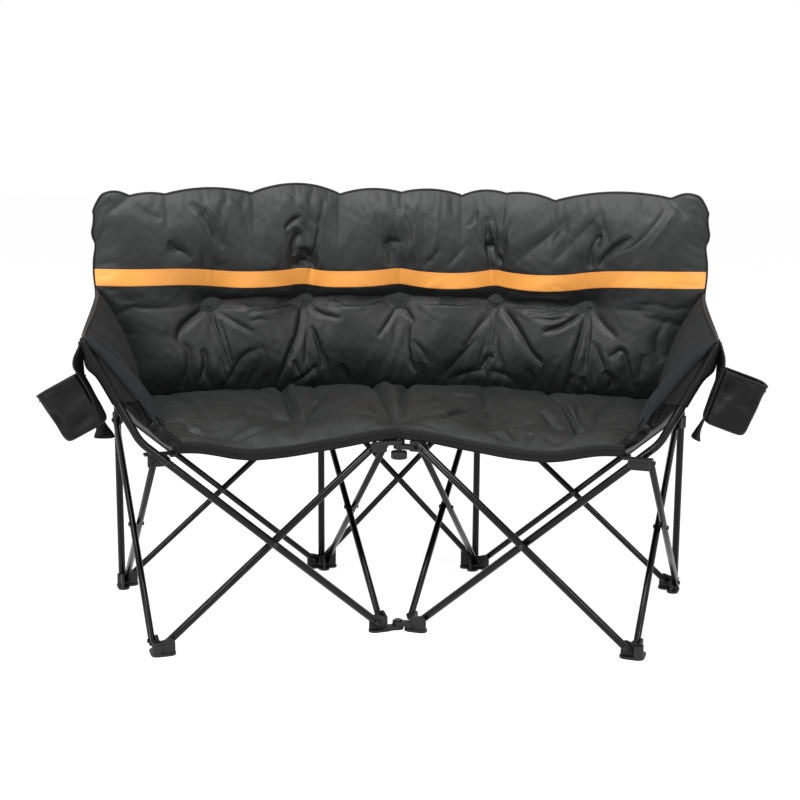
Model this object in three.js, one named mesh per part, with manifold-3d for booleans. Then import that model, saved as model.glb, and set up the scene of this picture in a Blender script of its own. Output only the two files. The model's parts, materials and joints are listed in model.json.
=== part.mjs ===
// Folding two-seat camping chair: a double scissor frame of steel tubes on moulded feet,
// with a padded fabric seat and back, arm wings and a cup pouch at each arm.
// Millimetres, +Z up, the sitter faces -Y. Two square halves share the front centre leg.
import * as THREE from 'three';
import { mergeVertices } from 'three/addons/utils/BufferGeometryUtils.js';
import Module from 'manifold-3d';

const wasm = await Module();
wasm.setup();

const { PI, abs, atan2, cos, exp, hypot, sin, tan } = Math;
const { degToRad } = THREE.MathUtils;

// Frame plan
const BAY = 480; // from leg axis to leg axis along each side of a half
const TOE_IN = degToRad(19.5); // each half turned in about the front centre
const HINGE_TO_LEG = 28; // centre hinge axis to the leg axis of each half
const PIVOT_REACH = 24; // leg axis to brace pivot
const PIVOT_LOW = 24; // height of the brace pivots in the feet
const PIVOT_HIGH = 396; // height of the brace pivots in the hubs and sliders
const MIDDLE_LOW = 44; // the same two heights for the crossed pair between the inner posts
const MIDDLE_HIGH = 400;

// Tubes
const MAIN_TUBE = 16; // front braces, arm tubes and posts
const SIDE_TUBE = 14; // all other braces
const TUBE_WALL = 1.1;
const TUBE_SIDES = 10;
const TUBE_END = 8; // tube past its pivot
const BRACE_GAP = 0.4; // between the two tubes of a crossed pair
const POST_TOP = 884;
const ARM_RUN = 65; // arm tube from hub pivot to its bend
const ARM_RISE = degToRad(62.5); // slope of the arm above the bend
const ARM_LEG = 222; // arm tube above the bend
const ARM_BEND_RADIUS = 90;
const ARM_BEND_STEPS = 4;

// Pins and rivets
const PIN_RADIUS = 2.5;
const PIN_HEAD_RADIUS = 4.5;
const PIN_HEAD = 2;
const PIN_SIDES = 6;
const FIT = 0.3; // clearance of pins, posts and faces that meet
const MIDDLE_PLAY = 2.8; // slot to each side of the loose end of the middle pair, which swings out of line

// Moulded feet, hubs and sliders
const EAR = 5; // thickness of a brace ear
const EAR_RADIUS = 11;
const RING_WALL = 3.1;
const RING_SIDES = 12;
const SLOT_STEPS = 3;
const FOOT_HEIGHT = 28;
const FOOT_BASE = 5;
const FOOT_LOBE = 13; // half width of the base under each brace
const OVERCUT = 1; // pieces that are joined or cut run this far past each other
const SLIDER_FIT = 0.4;
const SLIDER_RIM = 2; // slider ring above and below its ears
const COLLAR_PLAY = 3; // middle collars run loose on their posts
const COLLAR_HEIGHT = 16;
const COLLAR_DROP = 50; // pivot above the bottom of the collar ring
const HUB_PLATE = 4;
const HUB_PLATE_BACK = 16; // top plate past the leg axis, away from the seat
const HUB_PLATE_FRONT = 42; // top plate towards the seat
const HUB_PLATE_WIDTH = 20;
const HUB_CORNER = 10;
const ARM_SWEEP = 31; // nearest that the top plate comes to the leg axis over the arm tube

// Centre hinge and knob
const KNUCKLE_RADIUS = 12;
const KNUCKLE = 8.7; // height of one knuckle
const BRIDGE_HALF_WIDTH = 10;
const HINGE_PIN_RADIUS = 4;
const HINGE_HEAD_RADIUS = 8;
const HINGE_HEAD = 3;
const KNOB_RADIUS = 17;
const KNOB_LOBES = 8;
const KNOB_LOBE_STEPS = 6; // points round each lobe
const KNOB_LOBE_DEPTH = 1.2;
const KNOB_HEIGHT = 15;
const KNOB_STEM = 6;
const KNOB_STEM_RADIUS = 5.5;

// Seat
const SEAT_EDGE = 20; // thickness of the hemmed front edge
const SEAT_REAR_EDGE = 10;
const SEAT_CROWN = 17;
const SEAT_BELLY = 8;
const SEAT_FRONT_SAG = 30; // front edge between hub and centre
const SEAT_REST = 0.1; // share of the front edge's half that lies level on each hub
const SEAT_OVER_PIVOT = 30; // rear edge above the upper pivots
const SEAT_SAG = 12;
const SEAT_CORNER_INSET = 40; // front corner in from the front leg axis
const SEAT_REAR_OVERHANG = 4; // rear corners out past the outer posts
const SEAT_REAR_INSET = 15; // rear edge in front of the post axes
const SEAT_TUFT_Y = 40; // row of seat tufts behind the hinge axis
const SEAT_TUFT_DEPTH = 15;
const SEAT_LEVEL = 0.1; // share of the seat's depth that lies level on the hubs
const SEAT_SETTLE = 0.3; // share over which it then sinks to its full sag
const SEAT_GRID = [30, 9];

// Back
const BACK_BOTTOM = 436;
const BACK_TOP = 904;
const BACK_BOTTOM_OVERHANG = 12; // lower corners out past the outer posts
const BACK_TOP_OVERHANG = 40;
const BACK_FLARE = 0.6; // share of the height over which the sides widen
const BACK_INSET = 21; // middle of the pad in front of the post axes
const BACK_EDGE = 8;
const BACK_CROWN = 24;
const BACK_REAR_CROWN = 6;
const BACK_SCALLOP = 12; // rise of the top edge between gathers
const BACK_GATHERS = [0, 140, 352, 620]; // places across where the top edge dips
const BACK_CORNER_DROP = 14;
const TUFT_COLUMNS = [-437, -220, 0, 220, 437];
const TUFT_ROWS = [484, 654, 786]; // heights of the rows of back tufts
const TUFT_DEPTH = 22;
const TUFT_RADIUS = 56;
const PLAN_SOFTNESS = 20; // rounding of the back in plan where it turns at the inner posts
const BACK_GRID = [34, 12];
const POCKET_BOTTOM = 640; // lower end of the pockets behind the back that take the posts
const POCKET_WALL = 2.4;
const POCKET_CAP = 3;

// Wings, arm sleeves and cup pouches, placed from the front leg axis of their side
const WING_THICKNESS = 16;
const WING_EDGE = 5;
const WING_FRONT_LOW = [-34, 437]; // outwards from the leg axis, height
const WING_FRONT_BOW = [0, 529];
const WING_FRONT_TIP = [122, 640];
const WING_RIM = 28; // padded front edge at its thickest
const WING_RIM_DEPTH = 0.25; // share of the wing's length
const WING_REAR_BOTTOM = 442;
const WING_REAR_TOP = 690;
const WING_REAR_LOW = -50; // lower rear corner, outwards from the outer post
const WING_TO_BACK = 1.3; // rear edge in front of the back
const WING_SAG = 16; // dip of the upper edge
const WING_GRID = [10, 8];
const WING_TUCK = 1.3; // front edge drawn in beside the widest part of the round sleeve
const SLEEVE_WALL = 2.4;
const SLEEVE_LENGTH = 120; // arm tube inside its sleeve
const SLEEVE_CAP = 4;
const SLEEVE_WEB = 4;
const SLEEVE_WEB_WIDTH = 36;
const GUSSET_DROP = 45; // gathered panel below the sleeve, along the tube and clear of its axis
const GUSSET_CLEAR = 13;
const GUSSET_TOE = [[16, 466], [-8, 463]]; // its lower edge, outwards from the leg axis and up
const POUCH_TILT = { left: degToRad(29), right: degToRad(19.5) }; // each hangs as it was left
const POUCH_TURN = { left: degToRad(20), right: degToRad(14) }; // about the arm tip, seen from above
const POUCH_HEIGHT = 105;
const POUCH_MOUTH = 90;
const POUCH_FLOOR = 80;
const POUCH_DEPTH = 76;
const POUCH_CORNER = 0.45; // roundness of the pouch, 1 is a circle
const POUCH_WALL = 2.5;
const POUCH_SIDES = 16;
const POUCH_FOOT = { left: [130, 463], right: [142.33, 479] }; // middle of the floor, outwards and up
const POUCH_BACKSET = 8;
const FLAP_WIDTH = 64;
const FLAP_THICKNESS = 3;
const FLAP_CLEAR = 3; // gap to the sleeve, as the flap is turned against it
const FLAP_DROP = 5; // top of the flap below the end of the arm tube, along the tube
const FLAP_END = { left: [91, 446], right: [95, 450] }; // tongue of the flap below the pouch
const FLAP_TAPER = 0.6; // width at the arm tip as a share of the whole width

// Values worked out from the sizes above
const LIFT = PIVOT_HIGH - PIVOT_LOW;
const SEAT_REAR_HEIGHT = PIVOT_HIGH + SEAT_OVER_PIVOT;
const SLOPE = atan2(LIFT, BAY - 2 * PIVOT_REACH);
const EAR_FACE = FIT - BRACE_GAP / 2;
const POST_RADIUS = MAIN_TUBE / 2;
const RING_RADIUS = POST_RADIUS + SLIDER_FIT + RING_WALL;
const HUB_TOP = PIVOT_HIGH + EAR_RADIUS + HUB_PLATE;
const KNUCKLE_STACK = 2 * KNUCKLE + 2 * FIT; // two knuckles and the clearances above them
const TOP_KNUCKLE_BASE = HUB_TOP - HINGE_HEAD - KNUCKLE_STACK;
const PIN_HOLE_RADIUS = (PIN_RADIUS + FIT) / cos(PI / PIN_SIDES); // clear of the pin's corners as it turns
const LOOSE_BRACE = 'middle_brace_right';
const LOOSE_LEG = 'inner_right'; // the foot whose ear has a slot
const SLEEVE_INNER = MAIN_TUBE / 2 + FIT;
const SLEEVE_OUTER = SLEEVE_INNER + SLEEVE_WALL;
const braceOffset = (diameter) => (diameter + BRACE_GAP) / 2;

// Materials
function finish(color, roughness, metalness) {
  return new THREE.MeshStandardMaterial({ color, roughness, metalness });
}
const POWDER_COAT = finish(0x17181a, 0.32, 0.4);
const NYLON = finish(0x1d1e20, 0.55, 0);
const RIVET_STEEL = finish(0x3a3b3d, 0.35, 0.9);
const PADDED_CLOTH = finish(0x2b2d2f, 0.8, 0);
const TRIM_CLOTH = finish(0x1c1d1e, 0.85, 0);

// Solid helpers
function toSolid(geometry) {
  const plain = geometry.clone();
  plain.deleteAttribute('normal');
  plain.deleteAttribute('uv');
  const merged = mergeVertices(plain);
  return new wasm.Manifold(new wasm.Mesh({
    numProp: 3,
    vertProperties: Float32Array.from(merged.attributes.position.array),
    triVerts: Uint32Array.from(merged.index.array),
  }));
}

function toGeometry(solid) {
  const mesh = solid.getMesh();
  const geometry = new THREE.BufferGeometry();
  geometry.setAttribute('position', new THREE.BufferAttribute(mesh.vertProperties, 3));
  geometry.setIndex(new THREE.BufferAttribute(mesh.triVerts, 1));
  geometry.computeVertexNormals();
  return geometry;
}

const join = (...solids) => solids.reduce((whole, piece) => whole.add(piece));

function cut(solid, ...tools) {
  return tools.reduce((whole, tool) => whole.subtract(tool), solid);
}

function rod(from, to, radius, sides = PIN_SIDES) {
  const start = new THREE.Vector3(...from);
  const along = new THREE.Vector3(...to).sub(start);
  const geometry = new THREE.CylinderGeometry(radius, radius, along.length(), sides);
  geometry.translate(0, along.length() / 2, 0);
  const turn = new THREE.Quaternion().setFromUnitVectors(new THREE.Vector3(0, 1, 0), along.normalize());
  geometry.applyQuaternion(turn);
  geometry.translate(...from);
  return toSolid(geometry);
}

function block(low, high) {
  const geometry = new THREE.BoxGeometry(high[0] - low[0], high[1] - low[1], high[2] - low[2]);
  geometry.translate((low[0] + high[0]) / 2, (low[1] + high[1]) / 2, (low[2] + high[2]) / 2);
  return toSolid(geometry);
}

// A closed strip outline with round ends, from one point to another along X
function stadium(from, to, halfWidth) {
  const shape = new THREE.Shape();
  shape.absarc(to, 0, halfWidth, -PI / 2, PI / 2);
  shape.absarc(from, 0, halfWidth, PI / 2, 1.5 * PI);
  return shape;
}

function slab(shape, bottom, height) {
  const geometry = new THREE.ExtrudeGeometry(shape, { depth: height, bevelEnabled: false, curveSegments: 3 });
  geometry.translate(0, 0, bottom);
  return geometry;
}

// Flip a closed mesh whose faces point inwards
function facingOut(positions, triangles) {
  let volume = 0;
  const corner = (index) => new THREE.Vector3(...positions.slice(3 * index, 3 * index + 3));
  for (let i = 0; i < triangles.length; i += 3) {
    const [a, b, c] = triangles.slice(i, i + 3).map(corner);
    volume += a.dot(b.cross(c));
  }
  const geometry = new THREE.BufferGeometry();
  geometry.setAttribute('position', new THREE.Float32BufferAttribute(positions, 3));
  geometry.setIndex(volume < 0 ? triangles.toReversed() : triangles);
  geometry.computeVertexNormals();
  return geometry;
}

// Join rings of points into one closed body: a loop of rings, or a chain with flat ends
function loft(rings, isLoop) {
  const count = rings[0].length;
  const positions = rings.flat(2);
  const triangles = [];
  const spans = isLoop ? rings.length : rings.length - 1;
  for (let ring = 0; ring < spans; ring += 1) {
    const next = (ring + 1) % rings.length;
    for (let side = 0; side < count; side += 1) {
      const turn = (side + 1) % count;
      const [a, b] = [ring * count + side, ring * count + turn];
      const [c, d] = [next * count + side, next * count + turn];
      triangles.push(a, b, d, a, d, c);
    }
  }
  if (!isLoop) {
    const last = (rings.length - 1) * count;
    for (let side = 1; side < count - 1; side += 1) {
      triangles.push(0, side + 1, side, last, last + side, last + side + 1);
    }
  }
  return facingOut(positions, triangles);
}

// A closed pad between two faces of the same grid; face is +1 for the outer face, -1 for the inner
function pad(pointAt, columns, rows) {
  const positions = [];
  for (const face of [1, -1]) {
    for (let row = 0; row <= rows; row += 1) {
      for (let column = 0; column <= columns; column += 1) {
        positions.push(...pointAt(column / columns, row / rows, face));
      }
    }
  }
  const width = columns + 1;
  const layer = width * (rows + 1);
  const triangles = [];
  const quad = (a, b, c, d) => triangles.push(a, b, c, a, c, d);
  for (let row = 0; row < rows; row += 1) {
    for (let column = 0; column < columns; column += 1) {
      const a = row * width + column;
      quad(a, a + 1, a + width + 1, a + width);
      quad(layer + a, layer + a + width, layer + a + width + 1, layer + a + 1);
    }
  }
  for (let column = 0; column < columns; column += 1) {
    const top = rows * width + column;
    quad(column + 1, column, layer + column, layer + column + 1);
    quad(top, top + 1, layer + top + 1, layer + top);
  }
  for (let row = 0; row < rows; row += 1) {
    const left = row * width;
    const right = left + columns;
    quad(left, left + width, layer + left + width, layer + left);
    quad(right + width, right, layer + right, layer + right + width);
  }
  return facingOut(positions, triangles);
}

// Rings of a tube whose path lies in the plane of a bay: outwards, sideways offset, height
function ringsAlong(path, sideways, radius, sides = TUBE_SIDES) {
  return path.map(([outwards, height], index) => {
    const [before, after] = [path[Math.max(index - 1, 0)], path[Math.min(index + 1, path.length - 1)]];
    const length = hypot(after[0] - before[0], after[1] - before[1]);
    const [run, rise] = [(after[0] - before[0]) / length, (after[1] - before[1]) / length];
    return Array.from({ length: sides }, (_, side) => {
      const angle = (2 * PI * side) / sides;
      const across = radius * sin(angle);
      return [outwards - rise * across, sideways + radius * cos(angle), height + run * across];
    });
  });
}

function tube(path, sideways, diameter, wall = TUBE_WALL) {
  const outer = ringsAlong(path, sideways, diameter / 2);
  const inner = ringsAlong(path, sideways, diameter / 2 - wall);
  return loft([...outer, ...inner.reverse()], true);
}

// Assembly
const chair = new THREE.Group();

function addPiece(name, shape, material, place = [0, 0], turn = 0) {
  const mesh = new THREE.Mesh(shape.isBufferGeometry ? shape : toGeometry(shape), material);
  mesh.name = name;
  mesh.position.set(place[0], place[1], 0);
  mesh.rotation.z = turn;
  chair.add(mesh);
}

// Legs in plan, worked out from the centre hinge
const SIDES = ['left', 'right'];
const handOf = (side) => (side === 'left' ? -1 : 1);
const outwards = (side) => [handOf(side) * cos(TOE_IN), -sin(TOE_IN)];
const backwards = (side) => [handOf(side) * sin(TOE_IN), cos(TOE_IN)];

// A point given from the front leg axis of a side: outwards, backwards and up
function fromFrontLeg(side, out, back, height) {
  const reach = HINGE_TO_LEG + BAY + out;
  const [u, v] = [outwards(side), backwards(side)];
  return [u[0] * reach + v[0] * back, u[1] * reach + v[1] * back, height];
}

const LEGS = {};
for (const side of SIDES) {
  LEGS[`front_${side}`] = fromFrontLeg(side, 0, 0, 0);
  LEGS[`centre_${side}`] = fromFrontLeg(side, -BAY, 0, 0);
  LEGS[`outer_${side}`] = fromFrontLeg(side, 0, BAY, 0);
  LEGS[`inner_${side}`] = fromFrontLeg(side, -BAY, BAY, 0);
}

const OUTER_POST_X = LEGS.outer_right[0];
const BACK_BOTTOM_HALF = OUTER_POST_X + BACK_BOTTOM_OVERHANG;
const BACK_TOP_HALF = OUTER_POST_X + BACK_TOP_OVERHANG;
const SEAT_REAR_HALF = OUTER_POST_X + SEAT_REAR_OVERHANG;

// Crossed pairs between two legs: the brace with its foot at the first leg, the brace with its foot
// at the second, and their rivet. The first brace lies on the left of the line between the legs.
const PAIRS = [];

function addPair(first, second, climb, drop, rivet, diameter) {
  const [from, to] = [LEGS[first], LEGS[second]];
  const isMiddle = rivet === 'middle_rivet';
  PAIRS.push({
    first, second, climb, drop, rivet, diameter, isMiddle,
    place: from,
    span: hypot(to[0] - from[0], to[1] - from[1]),
    turn: atan2(to[1] - from[1], to[0] - from[0]),
    low: isMiddle ? MIDDLE_LOW : PIVOT_LOW,
    high: isMiddle ? MIDDLE_HIGH : PIVOT_HIGH,
  });
}

// Every pair runs clockwise round the left half and anticlockwise round the right half
for (const side of SIDES) {
  const addSide = (first, second, climb, drop, rivet, diameter) => {
    const legs = [`${first}_${side}`, `${second}_${side}`];
    const braces = [`${climb}_${side}`, `${drop}_${side}`];
    if (side === 'right') {
      legs.reverse();
      braces.reverse();
    }
    addPair(...legs, ...braces, `${rivet}_${side}`, diameter);
  };
  addSide('front', 'centre', 'front_brace', 'arm_tube', 'front_rivet', MAIN_TUBE);
  addSide('centre', 'inner', 'inner_brace_front', 'inner_brace_rear', 'inner_rivet', SIDE_TUBE);
  addSide('inner', 'outer', 'back_brace_inner', 'back_brace_outer', 'back_rivet', SIDE_TUBE);
  addSide('outer', 'front', 'outer_brace_rear', 'outer_brace_front', 'outer_rivet', SIDE_TUBE);
}
addPair('inner_left', 'inner_right', 'middle_brace_left', 'middle_brace_right', 'middle_rivet', SIDE_TUBE);

// The braces that meet a leg, seen from that leg
function armsAt(leg) {
  const arms = [];
  for (const pair of PAIRS) {
    if (pair.first === leg) arms.push({ ...pair, heading: pair.turn });
    if (pair.second === leg) arms.push({ ...pair, heading: pair.turn + PI });
  }
  return arms;
}

// Braces

// Tube of an arm: from its foot to the hub and past it, then bent upwards
function armPath(footAt, hubAt) {
  const heading = Math.sign(hubAt - footAt);
  const bend = ARM_RISE - SLOPE;
  const tangent = ARM_BEND_RADIUS * tan(bend / 2);
  const path = [[footAt - heading * TUBE_END * cos(SLOPE), PIVOT_LOW - TUBE_END * sin(SLOPE)]];
  const start = ARM_RUN - tangent;
  let [x, z] = [hubAt + heading * start * cos(SLOPE), PIVOT_HIGH + start * sin(SLOPE)];
  path.push([x, z]);
  const chord = 2 * ARM_BEND_RADIUS * sin(bend / ARM_BEND_STEPS / 2);
  for (let step = 0; step < ARM_BEND_STEPS; step += 1) {
    const angle = SLOPE + (bend * (step + 0.5)) / ARM_BEND_STEPS;
    x += heading * chord * cos(angle);
    z += chord * sin(angle);
    path.push([x, z]);
  }
  const rest = ARM_LEG - tangent;
  path.push([x + heading * rest * cos(ARM_RISE), z + rest * sin(ARM_RISE)]);
  return path;
}

function bracePath(footAt, headAt, low, high) {
  const length = hypot(headAt - footAt, high - low);
  const [run, rise] = [(headAt - footAt) / length, (high - low) / length];
  return [
    [footAt - run * TUBE_END, low - rise * TUBE_END],
    [headAt + run * TUBE_END, high + rise * TUBE_END],
  ];
}

// Pin fixed in the loose end of the middle pair, through a slot in the ear of its foot
function slidingPin(sideways) {
  const tip = EAR_FACE + EAR + FIT;
  return join(
    rod([0, sideways, 0], [0, tip + OVERCUT, 0], PIN_RADIUS),
    rod([0, sideways, 0], [0, sideways - SIDE_TUBE / 2 + TUBE_WALL / 2, 0], PIN_RADIUS),
    rod([0, tip, 0], [0, tip + PIN_HEAD, 0], PIN_HEAD_RADIUS),
  );
}

function addBrace(pair, name, sideways, footAt, headAt) {
  const { low, high, diameter, place, turn, span } = pair;
  const isArm = name.startsWith('arm_tube');
  const path = isArm ? armPath(footAt, headAt) : bracePath(footAt, headAt, low, high);
  const hole = (x, z) => rod([x, sideways - diameter, z], [x, sideways + diameter, z], PIN_HOLE_RADIUS);
  const drilled = cut(
    toSolid(tube(path, sideways, diameter)),
    hole(headAt, high),
    hole(span / 2, (low + high) / 2),
  );
  const foot = [footAt, 0, low];
  const whole = name === LOOSE_BRACE
    ? join(drilled, slidingPin(sideways).translate(foot))
    : cut(drilled, hole(footAt, low));
  addPiece(name, whole, POWDER_COAT, place, turn);
}

function rivetSolid(diameter) {
  const reach = diameter + BRACE_GAP / 2 + FIT;
  const shank = rod([0, -reach - PIN_HEAD / 2, 0], [0, reach + PIN_HEAD / 2, 0], PIN_RADIUS);
  const head = (hand) => rod([0, hand * reach, 0], [0, hand * (reach + PIN_HEAD), 0], PIN_HEAD_RADIUS);
  return join(shank, head(-1), head(1));
}

for (const pair of PAIRS) {
  const { span, diameter, low, high, place, turn } = pair;
  const offset = braceOffset(diameter);
  const [near, far] = [PIVOT_REACH, span - PIVOT_REACH];
  addBrace(pair, pair.climb, offset, near, far);
  addBrace(pair, pair.drop, -offset, far, near);
  const rivet = toGeometry(rivetSolid(diameter));
  rivet.translate(span / 2, 0, (low + high) / 2);
  addPiece(pair.rivet, rivet, RIVET_STEEL, place, turn);
}

// Moulded feet, hubs and sliders

const turned = (solid, heading) => solid.rotate([0, 0, THREE.MathUtils.radToDeg(heading)]);

// Plate of an ear, stood up beside the line of its pair; hand is +1 in the feet and -1 in the hubs
function earPlate(outline, hand) {
  const geometry = slab(outline, 0, EAR);
  geometry.rotateX(PI / 2);
  geometry.translate(0, hand > 0 ? -EAR_FACE : EAR + EAR_FACE, 0);
  return geometry;
}

// Ear and pin that hold one brace end
function pivotEar(outline, arm, pivot, hand) {
  const { diameter, heading } = arm;
  const tip = hand * (diameter + BRACE_GAP / 2 + FIT);
  const rooted = -hand * (EAR_FACE + EAR / 2);
  const pin = rod([PIVOT_REACH, rooted, pivot], [PIVOT_REACH, tip + hand * OVERCUT, pivot], PIN_RADIUS);
  const head = rod([PIVOT_REACH, tip, pivot], [PIVOT_REACH, tip + hand * PIN_HEAD, pivot], PIN_HEAD_RADIUS);
  return turned(join(toSolid(earPlate(outline, hand)), pin, head), heading);
}

function footEar(arm, leg) {
  const shape = new THREE.Shape();
  shape.moveTo(0, 0);
  shape.lineTo(PIVOT_REACH + EAR_RADIUS, 0);
  shape.absarc(PIVOT_REACH, arm.low, EAR_RADIUS, 0, PI / 2);
  shape.lineTo(0, FOOT_HEIGHT);
  if (arm.isMiddle && leg === LOOSE_LEG) {
    const slot = stadium(PIVOT_REACH - MIDDLE_PLAY, PIVOT_REACH + MIDDLE_PLAY, PIN_HOLE_RADIUS);
    const upright = slot.getPoints(SLOT_STEPS).map((point) => new THREE.Vector2(point.x, point.y + arm.low));
    shape.holes.push(new THREE.Path(upright));
    return turned(toSolid(earPlate(shape, 1)), arm.heading);
  }
  return pivotEar(shape, arm, arm.low, 1);
}

function headEar(arm) {
  const shape = new THREE.Shape();
  shape.moveTo(0, arm.high - EAR_RADIUS);
  shape.lineTo(PIVOT_REACH, arm.high - EAR_RADIUS);
  shape.absarc(PIVOT_REACH, arm.high, EAR_RADIUS, -PI / 2, PI / 2);
  shape.lineTo(0, arm.high + EAR_RADIUS);
  return pivotEar(shape, arm, arm.high, -1);
}

function footLobe(arm) {
  return turned(toSolid(slab(stadium(0, PIVOT_REACH, FOOT_LOBE), 0, FOOT_BASE)), arm.heading);
}

// Foot with a socket for a post; the front feet use the same moulding with the socket empty
function postFoot(leg) {
  const arms = armsAt(leg);
  const barrel = rod([0, 0, 0], [0, 0, FOOT_HEIGHT], RING_RADIUS, RING_SIDES);
  const whole = join(barrel, ...arms.map(footLobe), ...arms.map((arm) => footEar(arm, leg)));
  return cut(whole, rod([0, 0, FOOT_BASE], [0, 0, PIVOT_HIGH], POST_RADIUS + FIT, RING_SIDES));
}

function postSlider(leg) {
  const arms = armsAt(leg).filter((arm) => !arm.isMiddle);
  const half = EAR_RADIUS + SLIDER_RIM;
  const [bottom, top] = [PIVOT_HIGH - half, PIVOT_HIGH + half];
  const ring = rod([0, 0, bottom], [0, 0, top], RING_RADIUS, RING_SIDES);
  const bore = rod([0, 0, bottom - OVERCUT], [0, 0, top + OVERCUT], POST_RADIUS + SLIDER_FIT, RING_SIDES);
  return cut(join(ring, ...arms.map(headEar)), bore);
}

// Loose collar for the upper end of a middle brace, with its ear standing up beside the slider
function middleCollar(leg) {
  const arm = armsAt(leg).find((candidate) => candidate.isMiddle);
  const bottom = MIDDLE_HIGH - COLLAR_DROP;
  const top = bottom + COLLAR_HEIGHT;
  const bore = POST_RADIUS + COLLAR_PLAY;
  const inside = bore + RING_WALL - OVERCUT;
  const shape = new THREE.Shape();
  shape.moveTo(inside, bottom);
  shape.lineTo(PIVOT_REACH + EAR_RADIUS, bottom + COLLAR_HEIGHT);
  shape.absarc(PIVOT_REACH, MIDDLE_HIGH, EAR_RADIUS, 0, PI / 2);
  shape.absarc(PIVOT_REACH, MIDDLE_HIGH, EAR_RADIUS, PI / 2, PI);
  const ring = rod([0, 0, bottom], [0, 0, top], bore + RING_WALL, RING_SIDES);
  const hole = rod([0, 0, bottom - OVERCUT], [0, 0, top + OVERCUT], bore, RING_SIDES);
  return join(cut(ring, hole), pivotEar(shape, arm, MIDDLE_HIGH, -1));
}

// Front hub: ears for the arm tube and the side brace, under a top plate that carries the seat corner.
// The plate and its web stand beside the arm tube, which sweeps past them as the frame folds.
function frontHub(leg) {
  const arms = armsAt(leg);
  const armTube = arms.find((arm) => arm.diameter === MAIN_TUBE);
  const [bottom, top] = [PIVOT_HIGH - EAR_RADIUS, PIVOT_HIGH + EAR_RADIUS];
  const plate = block([-HUB_PLATE_BACK, EAR_FACE, top], [HUB_PLATE_FRONT, HUB_PLATE_WIDTH, HUB_TOP]);
  const lip = block([ARM_SWEEP, -HUB_PLATE_WIDTH, top], [HUB_PLATE_FRONT, HUB_PLATE_WIDTH, HUB_TOP]);
  const web = block([-HUB_CORNER, EAR_FACE, bottom], [PIVOT_REACH, EAR_FACE + EAR, top + HUB_PLATE / 2]);
  const outerFace = EAR_FACE + EAR;
  const corner = block([EAR_FACE + FIT, -outerFace, bottom], [outerFace - FIT, outerFace - FIT, PIVOT_HIGH]);
  const sweep = block(
    [-HUB_PLATE_FRONT, -MAIN_TUBE - FIT, PIVOT_HIGH + HUB_PLATE],
    [PIVOT_REACH - EAR, EAR_FACE / 2, top + PIVOT_REACH],
  );
  const seat = turned(join(plate, lip, web, corner), armTube.heading);
  return cut(join(...arms.map(headEar), seat), turned(sweep, armTube.heading));
}

// Half of the centre foot or hub: two ears and a knuckle round the hinge axis
function centreHalf(leg, ears, bottom) {
  const front = armsAt(leg).find((arm) => arm.diameter === MAIN_TUBE);
  const top = bottom + KNUCKLE;
  const upright = (from, to, radius) => rod([0, 0, from], [0, 0, to], radius, RING_SIDES)
    .translate([-HINGE_TO_LEG, 0, 0]);
  const bridge = toSolid(slab(stadium(-HINGE_TO_LEG, 0, BRIDGE_HALF_WIDTH), bottom, KNUCKLE));
  const eye = upright(bottom, top, KNUCKLE_RADIUS);
  const hole = upright(bottom - OVERCUT, top + OVERCUT, HINGE_PIN_RADIUS + FIT);
  return join(...ears, turned(cut(join(bridge, eye), hole), front.heading));
}

for (const side of SIDES) {
  const isLeft = side === 'left';
  for (const leg of [`front_${side}`, `outer_${side}`, `inner_${side}`]) {
    const name = leg.startsWith('front') ? `front_foot_${side}` : leg.replace('_', '_rear_foot_');
    addPiece(name, postFoot(leg), NYLON, LEGS[leg]);
  }
  for (const leg of [`outer_${side}`, `inner_${side}`]) {
    addPiece(leg.replace('_', '_slider_'), postSlider(leg), NYLON, LEGS[leg]);
    const post = tube([[0, FOOT_BASE + FIT], [0, POST_TOP]], 0, MAIN_TUBE);
    addPiece(leg.replace('_', '_post_'), post, POWDER_COAT, LEGS[leg]);
  }
  addPiece(`middle_collar_${side}`, middleCollar(`inner_${side}`), NYLON, LEGS[`inner_${side}`]);
  addPiece(`front_hub_${side}`, frontHub(`front_${side}`), NYLON, LEGS[`front_${side}`]);

  const centre = `centre_${side}`;
  const arms = armsAt(centre);
  const footKnuckle = isLeft ? 0 : KNUCKLE + FIT;
  const topKnuckle = TOP_KNUCKLE_BASE + (isLeft ? KNUCKLE + FIT : 0);
  const footEars = arms.map((arm) => join(footLobe(arm), footEar(arm, centre)));
  const foot = centreHalf(centre, footEars, footKnuckle);
  addPiece(`centre_foot_${side}`, foot, NYLON, LEGS[centre]);
  addPiece(`centre_hub_${side}`, centreHalf(centre, arms.map(headEar), topKnuckle), NYLON, LEGS[centre]);
}

// A pin or stud on the hinge axis, with a head on top
function hingePin(bottom, top) {
  return join(
    rod([0, 0, bottom], [0, 0, top + OVERCUT], HINGE_PIN_RADIUS, RING_SIDES),
    rod([0, 0, top], [0, 0, top + HINGE_HEAD], HINGE_HEAD_RADIUS, RING_SIDES),
  );
}
addPiece('centre_foot_pin', hingePin(FIT, KNUCKLE_STACK), RIVET_STEEL);

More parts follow.
